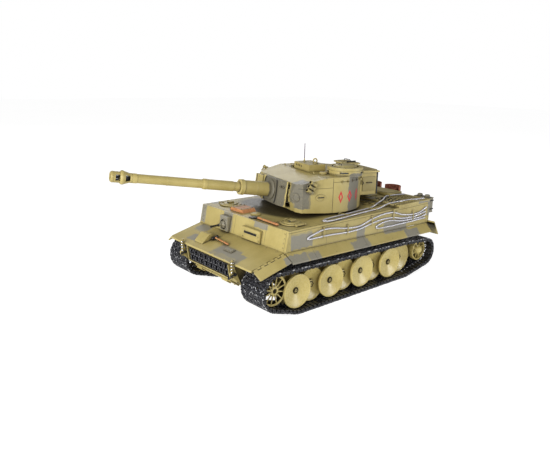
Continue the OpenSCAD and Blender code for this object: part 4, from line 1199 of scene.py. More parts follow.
def tow_rings():
    """Rings of the towing plates and the ribbed grips along the plates' front edges."""
    shape = Shape()
    for y in (-59.2, 59.2):
        m = move(139.6, y, 56)
        points = [(0, -3, 1), (3, -3.0, 0.4), (6, -2.4, -1.5), (7.6, -1.2, -3.5), (8, 0, -4.6),
                  (7.6, 1.2, -3.5), (6, 2.4, -1.5), (3, 3.0, 0.4), (0, 3, 1)]
        shape.tube(points, 1.0, 10, 0, m)
        shape.rod(1.2, -4.2, 4.2, 0, m @ move(0, 0, 1) @ LATHE_Y, 16, 0.3)
        shape.bolt(1.5, 1.0, 0, m @ move(0, 4.2, 1) @ LATHE_Y)
        for k in range(9):
            shape.ring(1.5, 0.75, 1 if k % 2 else 2, move(142.4 - 0.012 * (k - 6) ** 2, y, 57.5 + k * 2.1),
                       20, 8)
        shape.rod(1.3, 56, 76, 2, move(142.2, y, 0), 16, 0.3)
    finish("tow_rings", shape, "hull", ["dark", "steel", "plain"])


def front_fittings():
    """Driver's visor, machine gun housing, lamp hinges and the small plate on the glacis."""
    shape = Shape()
    # driver's visor: slit block, frame and bolts
    shape.box((2.2, 12, 7.4), (4.8, 45, 12.6), 0, PLATE)
    shape.box((4.3, 15, 8.6), (5.1, 42, 11.6), 1, PLATE)
    for y in (11.5, 45.5):
        for z in (3, 15.5):
            shape.bolt(0.8, 0.7, 0, PLATE @ move(3.3, y, z) @ LATHE_X)
    for y in (19, 38):
        shape.bolt(0.6, 0.5, 1, PLATE @ move(3.4, y, 14.6) @ LATHE_X)
    # machine gun housing
    shape.lathe([(7.3, 0), (8.6, 0), (8.6, 1.0), (8.0, 1.7), (7.4, 1.8)], 40, 0,
                move(88.8, -32, 95) @ LATHE_X)
    for y in (-39.2, -24.8):
        for z in (87.6, 104.6):
            shape.bolt(0.6, 0.5, 0, move(89.5, y, z) @ LATHE_X)
    # lamp plate hinges and the small plate on the glacis
    for y in (-44, -32):
        shape.rod(0.8, y - 2, y + 2, 0, GLACIS @ move(24, 0, 0.7) @ LATHE_Y, 12)
    shape.box((31, 15, 0), (38.6, 33, 1.3), 0, GLACIS)
    shape.box((32.4, 16.4, 1.2), (37.2, 31.6, 1.9), 0, GLACIS)
    for x in (32.2, 37.4):
        for y in (16, 32):
            shape.rivet(0.4, 0.35, 0, GLACIS @ move(x, y, 1.3))
    finish("front_fittings", shape, "hull", ["hull", "dark"], bevel=0.2)


def hammer(shape):
    """Sledge hammer on the glacis: its head by the lamp, its handle towards the middle."""
    grip = GLACIS @ move(24, -25, 2.6) @ turn(-5, "Z")
    shape.lathe([(0, 0), (1.1, 0.1), (1.25, 2), (1.0, 12), (1.15, 26), (1.35, 34), (1.1, 36.5), (0, 37)],
                16, 0, grip @ LATHE_Y)
    shape.lathe([(0, -5.2), (1.8, -5.2), (2.2, -4.6), (2.2, -2.2), (1.7, -1.6), (1.7, 1.6), (2.2, 2.2),
                 (2.2, 4.6), (1.8, 5.2), (0, 5.2)], 16, 1, grip @ move(0, 1.6, 0) @ LATHE_X)
    for y in (9, 25):
        shape.box((-2.3, y, -2.4), (2.3, y + 1.6, -1.2), 2, grip)
        shape.ring(1.75, 0.35, 2, grip @ move(0, y + 0.8, 0) @ LATHE_Y, 20, 6)


def jack_block(shape):
    """Block of two planks with end straps."""
    m = move(0, 0, deck_z)
    for x0, x1 in ((46.4, 57.8), (58.2, 69.6)):
        shape.prism([(-44, 0), (-12.6, 0), (-15.4, 4.8), (-41.2, 4.8)], x0, x1, 0,
                    m @ DRAW_X)
    for y in (-38, -20):
        shape.box((46, y, 4.3), (70, y + 2.0, 5.2), 2, m)
        for x in (48, 68):
            shape.bolt(0.6, 0.5, 1, m @ move(x, y + 1, 5.2))


def shovel(shape):
    """Shovel on the deck: blade towards the middle, wooden handle towards the side."""
    sh = move(0, 0, deck_z) @ move(72, 24, 2.0) @ turn(-3, "Z")
    shape.lathe([(0, 0), (1.6, 0.2), (1.5, 8), (1.55, 30), (1.75, 40), (1.8, 43), (1.2, 44.6), (0, 44.8)], 16,
                0, sh @ LATHE_Y)
    half = [(1.2, -1, 0.4, -0.7), (5.4, -5, -0.6, -1.4), (6.2, -11, -1.0, -1.7), (4.6, -16, -1.4, -1.95)]
    blade = [(-1.2, -1, 0.4, -0.7), *half, (0, -18, -1.5, -1.98)]
    blade += [(-x, y, top, under) for x, y, top, under in half[:0:-1]]
    shape.add([(x, y, top) for x, y, top, under in blade] + [(x, y, under) for x, y, top, under in blade],
              [tuple(range(9)), tuple(range(17, 8, -1))]
              + [(i, (i + 1) % 9, 9 + (i + 1) % 9, 9 + i) for i in range(9)], 1, sh)
    shape.rod(1.35, -3, 5, 1, sh @ LATHE_Y, 16, 0.3)
    for y in (12, 34):
        shape.ring(1.7, 0.3, 2, sh @ move(0, y, 0) @ LATHE_Y, 20, 6)
        shape.box((-2.2, y - 0.8, -2.0), (2.2, y + 0.8, -1.2), 2, sh)


def stowed_tools():
    """Hammer, jack block and shovel."""
    shape = Shape()
    hammer(shape)
    jack_block(shape)
    shovel(shape)
    finish("stowed_tools", shape, "hull", ["wood", "dark", "hull"], replaces=["tools"])


def hatch(side, sign):
    """Driver's or radio operator's round lid with its periscope, and the hinge seat under it."""
    node = f"hatch_{side}"
    place = mirrored(sign) @ move(50, 69, deck_z)
    shape = Shape(place @ move(0, 0, 0.3))
    shape.lathe([(0, 0), (16.2, 0), (16.5, 0.3), (16.5, 1.3), (16.0, 1.8), (14.4, 1.8), (14.0, 1.5),
                 (11.6, 1.5), (11.2, 1.8), (11.0, 2.4), (10.6, 2.7), (0, 3.0)], 72)
    shape.rivets(around(10, 13.0, 0.3), 0.5, 0.4, 0, move(0, 0, 1.5))
    # periscope
    shape.box((-4.4, -3, 2.4), (4.4, 3, 5.4))
    shape.box((3.9, -2.4, 3.2), (4.6, 2.4, 4.8), 2)
    # hinge strap, its knuckle and handle
    shape.box((-5, 12, 1.2), (5, 16.6, 2.4))
    shape.rod(1.35, -6, 6, 0, move(0, 17, 1.4) @ LATHE_X, 20, 0.2)
    shape.tube([(-3.4, -11.6, 1.6), (-3.4, -11.6, 3.8), (-2.6, -11.6, 4.4), (2.6, -11.6, 4.4),
                (3.4, -11.6, 3.8), (3.4, -11.6, 1.6)], 0.45, 8)
    finish(node + "_lid", shape, node, ["hull", "dark", "glass"], replaces=[node])
    seat = Shape(place)
    for x in (-8.6, 6.4):
        seat.box((x, 15.2, 0), (x + 2.2, 18.8, 3.0))
    seat.rod(0.7, -8.2, 8.2, 1, move(0, 17, 1.7) @ LATHE_X, 14)
    for x in (-14, 12):
        seat.box((x, -17.8, 0), (x + 2, -15.8, 2.2))
    finish(f"hatch_seat_{side}", seat, "hull", ["hull", "dark"], bevel=0.2)


def machine_gun():
    """Machine gun in its ball."""
    p = at("hull_mg_swivel")
    shape = Shape(move(*p) @ LATHE_X)
    ball = [on_circle(6.6, math.radians(a - 90)) for a in range(12, 158, 6)]
    shape.lathe([(0, -6.6), *ball, (2.5, 6.2), (2.5, 8.4), (2.2, 8.8), (2.2, 11.6)], 40)
    shape.lathe([(2.2, 11.6), (1.3, 12), (1.3, 22.4), (1.55, 22.8), (1.55, 24.6), (1.3, 25), (0.6, 25),
                 (0.6, 22), (0, 22)], 20, 1)
    for k in range(5):
        shape.ring(1.3, 0.2, 1, move(0, 0, 13.6 + 1.8 * k), 18, 6)
    shape.bolts(around(6, 5.0), 0.5, 0.5, 1, move(0, 0, 4.2))
    # upright pin that the ball swings on
    shape.rod(1.2, -9, 9.5, 1, turn(-90, "Y"), 20, 0.2)
    finish("hull_mg_ball", shape, "hull_mg", ["grey", "dark"], replaces=["hull_mg"])


DECK_FRONT = -146                # where the raised part of the engine deck ends
GRILLE_BACK, GRILLE_FRONT = -217, -150


def grille(shape, y0, y1):
    """Dark slats with rows of bright lugs, under a framed wire screen."""
    shape.box((rear_x, y0, deck_z), (GRILLE_BACK, y1, bay_z))
    shape.box((GRILLE_FRONT, y0, deck_z), (DECK_FRONT, y1, bay_z))
    # dark sheet under the slats: painted shadow
    shape.box((GRILLE_BACK, y0, deck_z - 0.6), (GRILLE_FRONT, y1, deck_z + 0.6), 1)
    for k in range(16):
        x = -214.6 + 4.2 * k
        shape.box((-0.6, y0, -1.7), (0.6, y1, 1.3), 2, move(x, 0, bay_z - 1.4) @ turn(20, "Y"))
        # every other slat carries five lugs, in the lit khaki copy as painted highlights on their tops
        for j in range(5 * (k % 2)):
            y = y0 + 1.4 + j * 7 + (k % 4)
            shape.box((x - 1.4, y, bay_z - 1.0), (x + 1.4, y + 3.4, bay_z + 0.4), 3)
    for y in (y0 + 12, y1 - 12):
        shape.box((GRILLE_BACK, y - 0.5, bay_z - 1.2), (GRILLE_FRONT, y + 0.5, bay_z + 0.1))
    for y in (y0 - 1.2, y1):
        shape.box((-218.2, y, bay_z - 0.2), (-148.8, y + 1.2, bay_z + 0.5))
    for x in (-218.2, -184.1, -150):
        shape.box((x, y0 - 1.2, bay_z - 0.2), (x + 1.2, y1 + 1.2, bay_z + 0.5))
    mesh_screen(shape, GRILLE_BACK, -184, y0, y1, bay_z + 0.45, 4.0, 0)
    for x in (-217.6, -183.5, -149.4):
        shape.bolts([move(x, y0 + 2 + k * 8, bay_z + 0.5) for k in range(5)], 0.45, 0.35)


def deck_sides(shape):
    """Toothed strips, ribs, bolts and lifting hooks outside the grilles."""
    for side in (1, -1):
        m = mirrored(side)
        shape.box((-194, 86.4, bay_z - 0.2), (-134, 92.6, bay_z + 0.15), 2, m)
        # teeth in the lit khaki copy, as painted highlights
        for k in range(10):
            shape.box((-193.4 + k * 6, 86.4, bay_z), (-190.4 + k * 6, 92.6, bay_z + 1.2), 3, m)
        for y in (87, 92.2):
            shape.box((-190.4, y, bay_z), (-147.6, y + 0.6, bay_z + 0.7), 0, m)
        shape.bolts(row(8, (rear_x + 5, 95.6, bay_z), (10.2, 0, 0)), 0.6, 0.5, 0, m)
        shape.bolts(row(4, (DECK_FRONT + 2.2, 50, bay_z), (0, 9.6, 0)), 0.6, 0.5, 0, m)
        lifting_hook(shape, m @ move(-160, 40, bay_z) @ turn(90, "Z"))
        lifting_hook(shape, m @ move(-124, 62, deck_z) @ turn(90, "Z"))


def engine_cover(shape):
    """Raised cover, seen as a bar in front of the exhausts, and a hinged lid with its filler caps."""
    shape.prism([(-220, -46), (-187, -46), (-186, -45), (-186, 45), (-187, 46), (-220, 46)], bay_z - 0.5,
                bay_z + 4.6)
    shape.prism([(-217, -43), (-189, -43), (-189, 43), (-217, 43)], bay_z + 4.5, bay_z + 5.2)
    for x in (-217.8, -188.2):
        shape.bolts(row(6, (x, -42, bay_z + 4.6), (0, 16.8, 0)), 0.55, 0.5)
    shape.prism([(-182, -29), (-152, -29), (-150, -27), (-150, 27), (-152, 29), (-182, 29)], bay_z - 0.2,
                bay_z + 1.5)
    shape.lathe([(8.6, 0), (8.6, 1.0), (7.8, 1.6), (0, 1.9)], 40, 0, move(-166, 0, bay_z + 1.5))
    shape.bolts(around(8, 7.0), 0.5, 0.4, 0, move(-166, 0, bay_z + 3.1))
    for y in (-20, 20):
        filler = move(-158, y, bay_z + 1.5)
        shape.lathe([(4.6, 0), (4.6, 1.2), (4.0, 1.8), (0, 2.1)], 32, 0, filler)
        shape.box((-5.8, -0.7, 0.6), (5.8, 0.7, 2.0), 0, filler)
        shape.rod(0.9, -4, 4, 2, move(-182.6, y, bay_z + 1.2) @ LATHE_Y, 14)


def deck_caps(shape):
    """Fuel and water caps beside the turret's rear, and ducts across the low part of the deck."""
    for x, y, r in ((-124, 24, 5.2), (-124, -24, 5.2), (-124, 50, 4.2), (-124, -50, 4.2)):
        cap = move(x, y, deck_z)
        shape.lathe([(r, 0), (r, 1.0), (r - 0.8, 1.6), (0, 1.8)], 32, 0, cap)
        shape.box((-r - 1.2, -0.7, 0.4), (r + 1.2, 0.7, 1.9), 0, cap)
    for side in (1, -1):
        for k in range(15):
            y = side * (8 + k * 4.8)
            shape.box((-144.6, y - 1.2, deck_z + 1.4), (-133.4, y + 1.2, deck_z + 2.0), 2 if k % 2 else 0)


def deck():
    """Engine deck: raised plate with slatted grilles, cover in the middle, caps and hooks."""
    shape = Shape()
    shape.box((DECK_FRONT, -80, deck_z - 0.6), (-132, 80, deck_z + 1.6))
    for y0, y1 in ((-98, -80), (-44, 44), (80, 98)):
        shape.box((rear_x, y0, deck_z), (DECK_FRONT, y1, bay_z))
    for y0, y1 in ((-80, -44), (44, 80)):
        grille(shape, y0, y1)
    deck_sides(shape)
    engine_cover(shape)
    deck_caps(shape)
    finish("engine_deck_grilles", shape, "hull", ["hull", "painted_shadow", "dark", "bin"],
           replaces=["engine_deck"])


def exhaust_pipes():
    """Two upright pipes, each behind a half-round guard with rolled rims."""
    shape = Shape()
    for side in (1, -1):
        m = move(rear_x - 1.9, side * 20.5, 0)
        curved_wall(shape, 14.3, 15.5, 94, 266, 84, 125.0, 0, m)
        # rolled rims and strengthening bands of the guard
        for z in (84.6, 104.6, 124.9):
            arc = [(*on_circle(15.0, math.radians(a)), z) for a in range(95, 266, 6)]
            shape.tube(arc, 0.75 if z > 120 else 0.6, 8, 0, m)
        for a in (96, 264):
            shape.rod(0.7, 84, 125.3, 0, m @ move(*on_circle(14.9, math.radians(a)), 0), 10)
        pipe = m @ move(-6.6, 0, 0)
        shape.lathe([(0, 82), (4.0, 82), (4.7, 82.5), (4.8, 84), (4.8, 99), (5.1, 99.4), (5.1, 101),
                     (4.8, 101.4), (4.8, 116.6), (5.5, 117), (5.6, 117.6), (5.6, 119.8), (5.2, 120.3),
                     (4.0, 120.4), (3.8, 119.4), (3.8, 106), (0, 106)], 40, 0, pipe)
        for z in (88, 103):
            shape.box((-14.6, -2.5, z), (-11.4, 2.5, z + 5), 0, m)
            shape.ring(5.1, 0.5, 1, pipe @ move(0, 0, z + 2.5), 32, 8)
            for y in (-1.6, 1.6):
                shape.bolt(0.6, 0.5, 1, m @ move(-15.3, y, z + 2.5) @ turn(-90, "Y"))
            shape.box((-2.0, -2.5, z), (-0.6, 2.5, z + 5), 0, m)
    finish("exhaust_pipes", shape, "hull", ["rust", "dark"], replaces=["exhausts"], sharp=40)


def filter_boxes():
    """Air filters at the rear corners: ribbed boxes with two caps, a hose and straps."""
    shape = Shape()
    for side in (1, -1):
        m = mirrored(side) @ move(rear_x - 15, 0, 0)
        shape.box((0.8, 66, 92), (11.8, 96, 116.3), 0, m)
        for k in range(11):
            shape.box((-0.3, 67.2 + k * 2.6, 94), (1.2, 68.4 + k * 2.6, 114.4), 0, m)
        for z in (92, 115.1):
            shape.box((-0.5, 66, z), (1.4, 96, z + 1.4), 0, m)
        for y in (74, 88):
            shape.lathe([(4.2, 116), (4.2, 119.4), (3.6, 120.2), (0, 120.5)], 28, 0, m @ move(6, y, 0))
            shape.ring(4.25, 0.35, 1, m @ move(6, y, 117.4), 28, 6)
            shape.bolt(0.8, 0.7, 1, m @ move(6, y, 120))
        shape.tube([(6, 66.5, 108), (6, 62, 108), (5.4, 58.5, 106.5), (5, 57, 103), (5, 57, 97),
                    (6.2, 57, 93.6), (12, 57, 92)], 2.2, 14, 1, m)
        for z in (97, 111):
            shape.box((-0.6, 65.2, z), (11.8, 96.8, z + 1.4), 1, m)
    finish("filter_boxes", shape, "hull", ["grey", "rubber"], bevel=0.25,
           replaces=["air_filters"])


def rear_fittings():
    """Bolts, towing eyes, lamps, covers and the jack on the rear plate."""
    shape = Shape()
    x = rear_x - 3
    back = Matrix.Translation((x, 0, 0)) @ turn(-90, "Y")
    for side in (1, -1):
        shape.bolts(row(5, (64, side * 52, 0), (5.6, 0, 0)), 0.9, 0.7, 0, back)
        for k in range(8):
            shape.bolt(0.7, 0.6, 0, back @ move(112.4, side * (6 + k * 12), 0))
        shape.box((x - 1.6, side * 36 - 8, 66), (x, side * 36 + 8, 80))
        shape.rod(3.4, 0, 2.6, 1, back @ move(73, side * 36, 1.5), 24, 0.4)
        # towing eyes
        shape.box((x - 7, side * 47 - 1.4, 61), (x, side * 47 + 1.4, 74))
        shape.ring(3.4, 0.9, 1, move(x - 7.2, side * 47, 63) @ LATHE_Y)
        # tail lamp
        shape.lathe([(3, 0), (3, 2.4), (2.4, 3.2), (0, 3.4)], 24, 0, back @ move(98, side * 54, 0))
        shape.lathe([(2.0, 3.1), (1.8, 3.6), (0, 3.8)], 20, 2, back @ move(98, side * 54, 0))
    # round access cover under the exhausts, and the starter's flap between them
    shape.lathe([(7.5, 0), (7.5, 1.6), (6.8, 2.2), (0, 2.6)], 44, 0, back @ move(67.6, 0, 0))
    shape.bolts(around(8, 5.8), 0.5, 0.5, 0, back @ move(67.6, 0, 2.2))
    shape.box((x - 1.4, -3.4, 92), (x, 3.4, 106))
    shape.rod(0.8, -3.4, 3.4, 0, move(x - 1.2, 0, 106.4) @ LATHE_Y, 12)
    # jack on the rear plate
    shape.lathe([(0, -20.4), (2.6, -20.4), (2.8, -20), (2.8, 14), (2.4, 15), (2.0, 20), (0, 20.4)], 24, 1,
                move(x - 4.2, 0, 79.4) @ LATHE_Y)
    for y in (-16, 10):
        shape.box((x - 7.4, y, 76.2), (x, y + 2.2, 82.6))
    finish("rear_fittings", shape, "hull", ["hull", "dark", "rust"], bevel=0.2)


# ---------------------------------------------------------------- tow cables

CABLE_R = 1.0
SIDE_Y = hull_half + CABLE_R
DECK_Z = deck_z + CABLE_R + 0.1
BAY_Z = bay_z + CABLE_R + 0.1
DECK_CABLE = [
    (-219, 52, BAY_Z), (-200, 47, BAY_Z), (-184, 45, BAY_Z), (-170, 50, BAY_Z), (-154, 60, BAY_Z),
    (-142, 64.5, BAY_Z), (-130, 67.5, DECK_Z + 2.4), (-116, 70.5, DECK_Z), (-100, 74, DECK_Z),
    (-70, 77, DECK_Z), (-40, 79, DECK_Z), (-10, 81, DECK_Z), (4, 84, DECK_Z), (8, 88, DECK_Z),
    (4, 92, DECK_Z), (-10, 93, DECK_Z), (-40, 90, DECK_Z), (-70, 87, DECK_Z), (-100, 85, DECK_Z),
    (-116, 83.5, DECK_Z), (-130, 82.2, DECK_Z + 2.4), (-142, 82, BAY_Z), (-155, 82.5, BAY_Z),
    (-180, 83, BAY_Z), (-200, 87, BAY_Z), (-218, 91, BAY_Z)]
SIDE_CABLE = [(x, SIDE_Y, z) for x, z in (
    (-216, 104), (-200, 98), (-180, 97), (-155, 100), (-130, 107), (-105, 107.5), (-80, 104), (-55, 98),
    (-28, 99), (0, 103.5), (20, 104.5), (38, 101), (48, 98), (46, 95.6), (28, 95.5), (4, 95), (-28, 93),
    (-55, 93.5), (-80, 97.5), (-105, 100), (-130, 99), (-155, 94.5), (-185, 93), (-214, 97))]
REAR_CABLE = [(x, SIDE_Y, z) for x, z in (
    (-216, 92.6), (-200, 89.5), (-175, 89.6), (-150, 91), (-125, 95.2), (-104, 94.5), (-92, 91), (-97, 87.6),
    (-120, 86.6), (-150, 86.2), (-180, 86), (-214, 86.6))]


def smooth_route(points, step=0.9):
    """Points every step millimetres along a Catmull-Rom curve through a route."""
    p = [Vector(q) for q in points]
    p = [p[0] * 2 - p[1], *p, p[-1] * 2 - p[-2]]
    out = []
    for a, b, c, d in zip(p, p[1:], p[2:], p[3:]):
        count = max(2, round((c - b).length / step))
        for k in range(count):
            t = k / count
            out.append(0.5 * (2 * b + (c - a) * t + (2 * a - 5 * b + 4 * c - d) * t * t
                              + (3 * b - a - 3 * c + d) * t ** 3))
    return out + [p[-2]]


def wire(shape, points, mat=0):
    """Three strands twisted round a route, with a sleeved end at both ends."""
    route = smooth_route(points)
    strands = [[], [], []]
    run = 0.0
    for i, p in enumerate(route):
        t = (route[min(i + 1, len(route) - 1)] - route[max(i - 1, 0)]).normalized()
        side = t.cross(Vector((0.02, 0.3, 1))).normalized()
        up = t.cross(side)
        if i:
            run += (p - route[i - 1]).length
        for k, strand in enumerate(strands):
            a = math.tau * (run / 9 + k / 3)
            strand.append(p + 0.52 * (math.cos(a) * side + math.sin(a) * up))
    for strand in strands:
        shape.tube(strand, 0.62, 6, mat)
    for end, inner in ((route[0], route[7]), (route[-1], route[-8])):
        t = (end - inner).normalized()
        shape.tube([inner, inner + t * 1.0, end], 1.25, 12, mat)


def cables():
    """The three tow cables and the clips that hold them."""
    shape = Shape()
    for route in (DECK_CABLE, SIDE_CABLE, REAR_CABLE):
        wire(shape, route)
    finish("twisted_cables", shape, "hull", ["wire"], replaces=["tow_cables"], sharp=60)
    clips = Shape()
    for x, z in ((-28, 96), (20, 99.5), (-80, 100.8), (-130, 103), (-180, 95)):
        clips.box((x - 0.7, hull_half + 2.2, z - 6.6), (x + 0.7, hull_half + 2.8, z + 8))
        clips.box((x - 0.9, hull_half, z + 7.2), (x + 0.9, hull_half + 2.8, z + 8.6))
        clips.bolt(0.5, 0.5, 0, move(x, hull_half + 2.7, z + 7.8) @ LATHE_Y)
    for x in (-40, -100):
        clips.box((x - 0.9, 70.9, deck_z), (x + 0.9, 72.3, deck_z + 3.1))
        clips.box((x - 0.7, 70.9, deck_z + 2.5), (x + 0.7, 93, deck_z + 3.1))
        clips.bolt(0.5, 0.5, 0, move(x, 71.6, deck_z + 3.1))
    finish("cable_saddles", clips, "hull", ["plain"], bevel=0.2, replaces=["cable_clips"])


def inside_parts():
    """Parts inside the hull, which keep their CAD shapes."""
    dress("drive_units", "black")
    dress("battery", "blue")
    dress("electronics", "board")


# ---------------------------------------------------------------- turret

def turret_wall(shape):
    """Ports, lifting eyes and spare link hangers on both sides."""
    for side in (1, -1):
        m = mirrored(side)
        # round port with its plug, oval port behind it
        wall = m @ move(61.9, 57.1, 138) @ turn(30, "Z") @ LATHE_X
        shape.lathe([(6.2, 0), (6.2, 0.7), (5.6, 1.1), (4.4, 1.1), (4.1, 0.6), (0, 0.6)], 40, 0, wall)
        shape.rivets(around(6, 5.2), 0.35, 0.3, 0, wall @ move(0, 0, 1.0))
        port = m @ move(29, 70.6, 138) @ turn(-7.4, "Z")
        oval = port @ LATHE_Y @ Matrix.Diagonal((1, 0.62, 1, 1))
        shape.lathe([(7.6, -0.6), (7.6, 0.7), (7.0, 1.1), (6.0, 1.1), (5.6, 0.5), (0, 0.5)], 44, 0, oval)
        shape.box((-4.4, -0.4, -0.7), (4.4, 0.9, 0.7), 1, port)
        # lifting eyes on the rear wall
        for a in (142, 164):
            spot = m @ turn(a, "Z") @ move(72, 0, 150)
            shape.box((-0.6, -2.2, -3), (1.8, 2.2, 3), 0, spot)
            shape.ring(1.9, 0.55, 1, spot @ move(2.4, 0, -1.2) @ LATHE_Y, 20, 6)
        # spare track link hangers on the side walls
        for k in range(6):
            a = 94 + k * 8.5
            spot = m @ turn(a, "Z") @ move(72.0, 0, 158.6)
            shape.box((-0.6, -1.0, -1.6), (1.9, 1.0, 1.2), 0, spot)
            shape.bolt(0.55, 0.4, 1, spot @ move(1.9, 0, 0.2) @ LATHE_X)


def turret_roof(shape):
    """Rows of bolts, fan cover, cap, lifting hooks and the loader's periscope under its guard."""
    for k in range(7):
        y = 62 + 1.2 * math.sin(k) if k < 3 else 57
        for side in (1, -1):
            shape.bolt(0.6, 0.45, 0, move(16 - k * 11, side * y, roof_z))
    fan, cap = move(-8, -43, roof_z), move(8, 40, roof_z)
    shape.lathe([(13.2, 0), (13.2, 1.5), (12.4, 2.4), (9.4, 2.4), (9.0, 3.2), (0, 3.8)], 48, 0, fan)
    shape.bolts(around(8, 11.2), 0.6, 0.5, 0, fan @ move(0, 0, 2.3))
    shape.lathe([(5.4, 0), (5.4, 2.8), (4.6, 3.6), (0, 4.2)], 32, 0, cap)
    shape.bolts(around(5, 4.4), 0.45, 0.4, 0, cap @ move(0, 0, 3.4))
    for y in (-58, 30):
        lifting_hook(shape, move(20, y, roof_z - 0.3) @ turn(90, "Z"))
    shape.box((11, -41, roof_z), (17, -34, roof_z + 3.2))
    shape.box((16.2, -40, roof_z + 0.8), (17.6, -35, roof_z + 2.4), 1)
    for y in (-42, -33):
        shape.tube([(10.4, y, roof_z), (10.4, y, roof_z + 4), (12, y, roof_z + 4.8), (17, y, roof_z + 4.8),
                    (18.4, y, roof_z + 3.6), (18.4, y, roof_z)], 0.5, 8)


def roof_box_fittings(shape):
    """Dark openings in the roof box's front, bolts on its top, its eye."""
    top = 175.4
    for i in range(4):
        shape.box((17.2, -23 + i * 5.2, 169.5), (17.8, -20.2 + i * 5.2, 172.5), 1)
    for x in (-7.6, 15.8):
        for y in (-25, -10, 14):
            shape.bolt(0.55, 0.45, 0, move(x, y, top))
    shape.lathe([(4, 0), (4, 1.2), (3.5, 1.6), (2.2, 1.8), (1.6, 2.4), (0, 2.4)], 32, 0, move(3, 8, top))
    shape.ring(3.2, 1.0, 0, move(3, 8, top + 4.8) @ LATHE_Y, 36, 12)


def turret_shell():
    """Turret and roof box with all that is fixed on them."""
    rounded("turret_shell", "turret", "turret", 0.45)
    rounded("roof_box", "turret", "turret", 0.4)
    shape = Shape(TURRET)
    turret_wall(shape)
    turret_roof(shape)
    roof_box_fittings(shape)
    # dark ring in the gap under the turret: painted shade in the gap
    shape.lathe([(47.6, 112.2), (47.6, 113.9), (45.8, 113.9), (45.8, 112.2)], 96, 1, IDENTITY, closed=True)
    finish("turret_fittings", shape, "turret", ["turret", "dark"])


CUPOLA = TURRET @ move(-27, 44.5, 0)
LID_R = 17.6


def cupola_drum():
    """Drum with five vision slits, its rim, and the ears and pin of its lid."""
    shape = Shape(CUPOLA)
    r, z, lid_r = 27.0, roof_z, LID_R
    shape.lathe([(14, z - 0.5), (r - 0.8, z - 0.5), (r - 0.8, z + 2.4), (r, z + 2.5), (r, z + 3.4)], 96)
    shape.lathe([(r - 0.4, z + 5.6), (r, z + 5.7), (r, z + 6.5), (r - 0.8, z + 6.7), (r - 0.8, z + 9.6),
                 (19.4, z + 9.6), (18.8, z + 9.2), (14, z + 9.2), (14, z - 0.5)], 96)
    # upstanding rim, open where the lid's hinge is
    curved_wall(shape, 19.6, r - 0.8, -156, 156, z + 9.5, z + 11.2, 0, n=90)
    # the wall between the slits
    gaps = [k * 72 + 54 for k in range(5)]
    gap_half = 12.8
    verts, faces = [], []
    n = 180
    for k in range(n):
        a = k * 360 / n
        open_here = any(abs((a - g + 180) % 360 - 180) < gap_half for g in gaps)
        wall_r = r - 2.2 if open_here else r
        for h in (z + 3.3, z + 5.75):
            verts.append((*on_circle(wall_r, math.radians(a)), h))
        j = (k + 1) % n
        faces.append((2 * k, 2 * j, 2 * j + 1, 2 * k + 1))
    shape.add(verts, faces)
    shape.lathe([(r - 2.1, z + 3.4), (r, z + 3.4)], 96)
    shape.lathe([(r, z + 5.7), (r - 2.1, z + 5.7)], 96)
    for g in gaps:
        m = turn(g, "Z")
        shape.box((r - 2.6, -5.2, z + 3.7), (r - 2.0, 5.2, z + 5.4), 2, m)
    # rim bolts, rivets between the slits, ears and pin of the lid
    for k in range(14):
        shape.bolt(0.6, 0.45, 0, turn(-150 + k * 300 / 13, "Z") @ move(22.6, 0, z + 11.2))
    for k in range(20):
        a = k * 18 + 9
        if not any(abs((a - g + 180) % 360 - 180) < gap_half for g in gaps):
            shape.rivet(0.45, 0.35, 0, turn(a, "Z") @ move(r, 0, z + 4.6) @ LATHE_X)
    for y in (-7, 5):
        shape.prism([(-lid_r - 4, z + 8), (-lid_r, z + 8), (-lid_r, z + 12), (-lid_r - 0.8, z + 13),
                     (-lid_r - 3.2, z + 13), (-lid_r - 4, z + 12)], y, y + 2, 0, DRAW_Y)
    shape.rod(0.7, -7.6, 7.6, 1, move(-lid_r - 2, 0, z + 11.4) @ LATHE_Y, 14, 0.15)
    finish("cupola_drum", shape, "turret", ["turret", "dark", "glass"], replaces=["cupola"],
           sharp=34)


def cupola_cover():
    """The cupola's lid with its handle and hinge eye."""
    shape = Shape(CUPOLA)
    lid_r, z = LID_R, roof_z
    zz = z + 9.9
    shape.lathe([(0, zz), (lid_r - 0.3, zz), (lid_r, zz + 0.3), (lid_r, zz + 1.6), (lid_r - 0.5, zz + 2.0),
                 (lid_r - 2.2, zz + 2.0), (lid_r - 2.6, zz + 1.7), (lid_r - 3.0, zz + 1.8),
                 (lid_r - 3.2, zz + 2.5), (lid_r - 3.7, zz + 2.8), (0, zz + 2.9)], 80)
    shape.box((-lid_r - 1.4, -4.5, zz + 0.2), (-lid_r + 3, 4.5, zz + 2.2))
    shape.lathe([(1.4, -4.5), (1.4, 4.5), (0.82, 4.5), (0.82, -4.5)], 20, 0,
                move(-lid_r - 2, 0, z + 11.4) @ LATHE_Y, closed=True)
    shape.rivets(around(8, 11.6, 0.4), 0.45, 0.35, 0, move(0, 0, zz + 2.75))
    shape.tube([(9, -3.4, zz + 2.4), (9, -3.4, zz + 4.2), (9, -2.6, zz + 5), (9, 2.6, zz + 5),
                (9, 3.4, zz + 4.2), (9, 3.4, zz + 2.4)], 0.5, 8, 1)
    for x in (-15.2, -12.2):
        shape.bolt(0.6, 0.5, 1, move(x, 0, zz + 2.1))
    finish("cupola_cover", shape, "cupola_lid", ["turret", "dark"], replaces=["cupola_lid"],
           sharp=34)


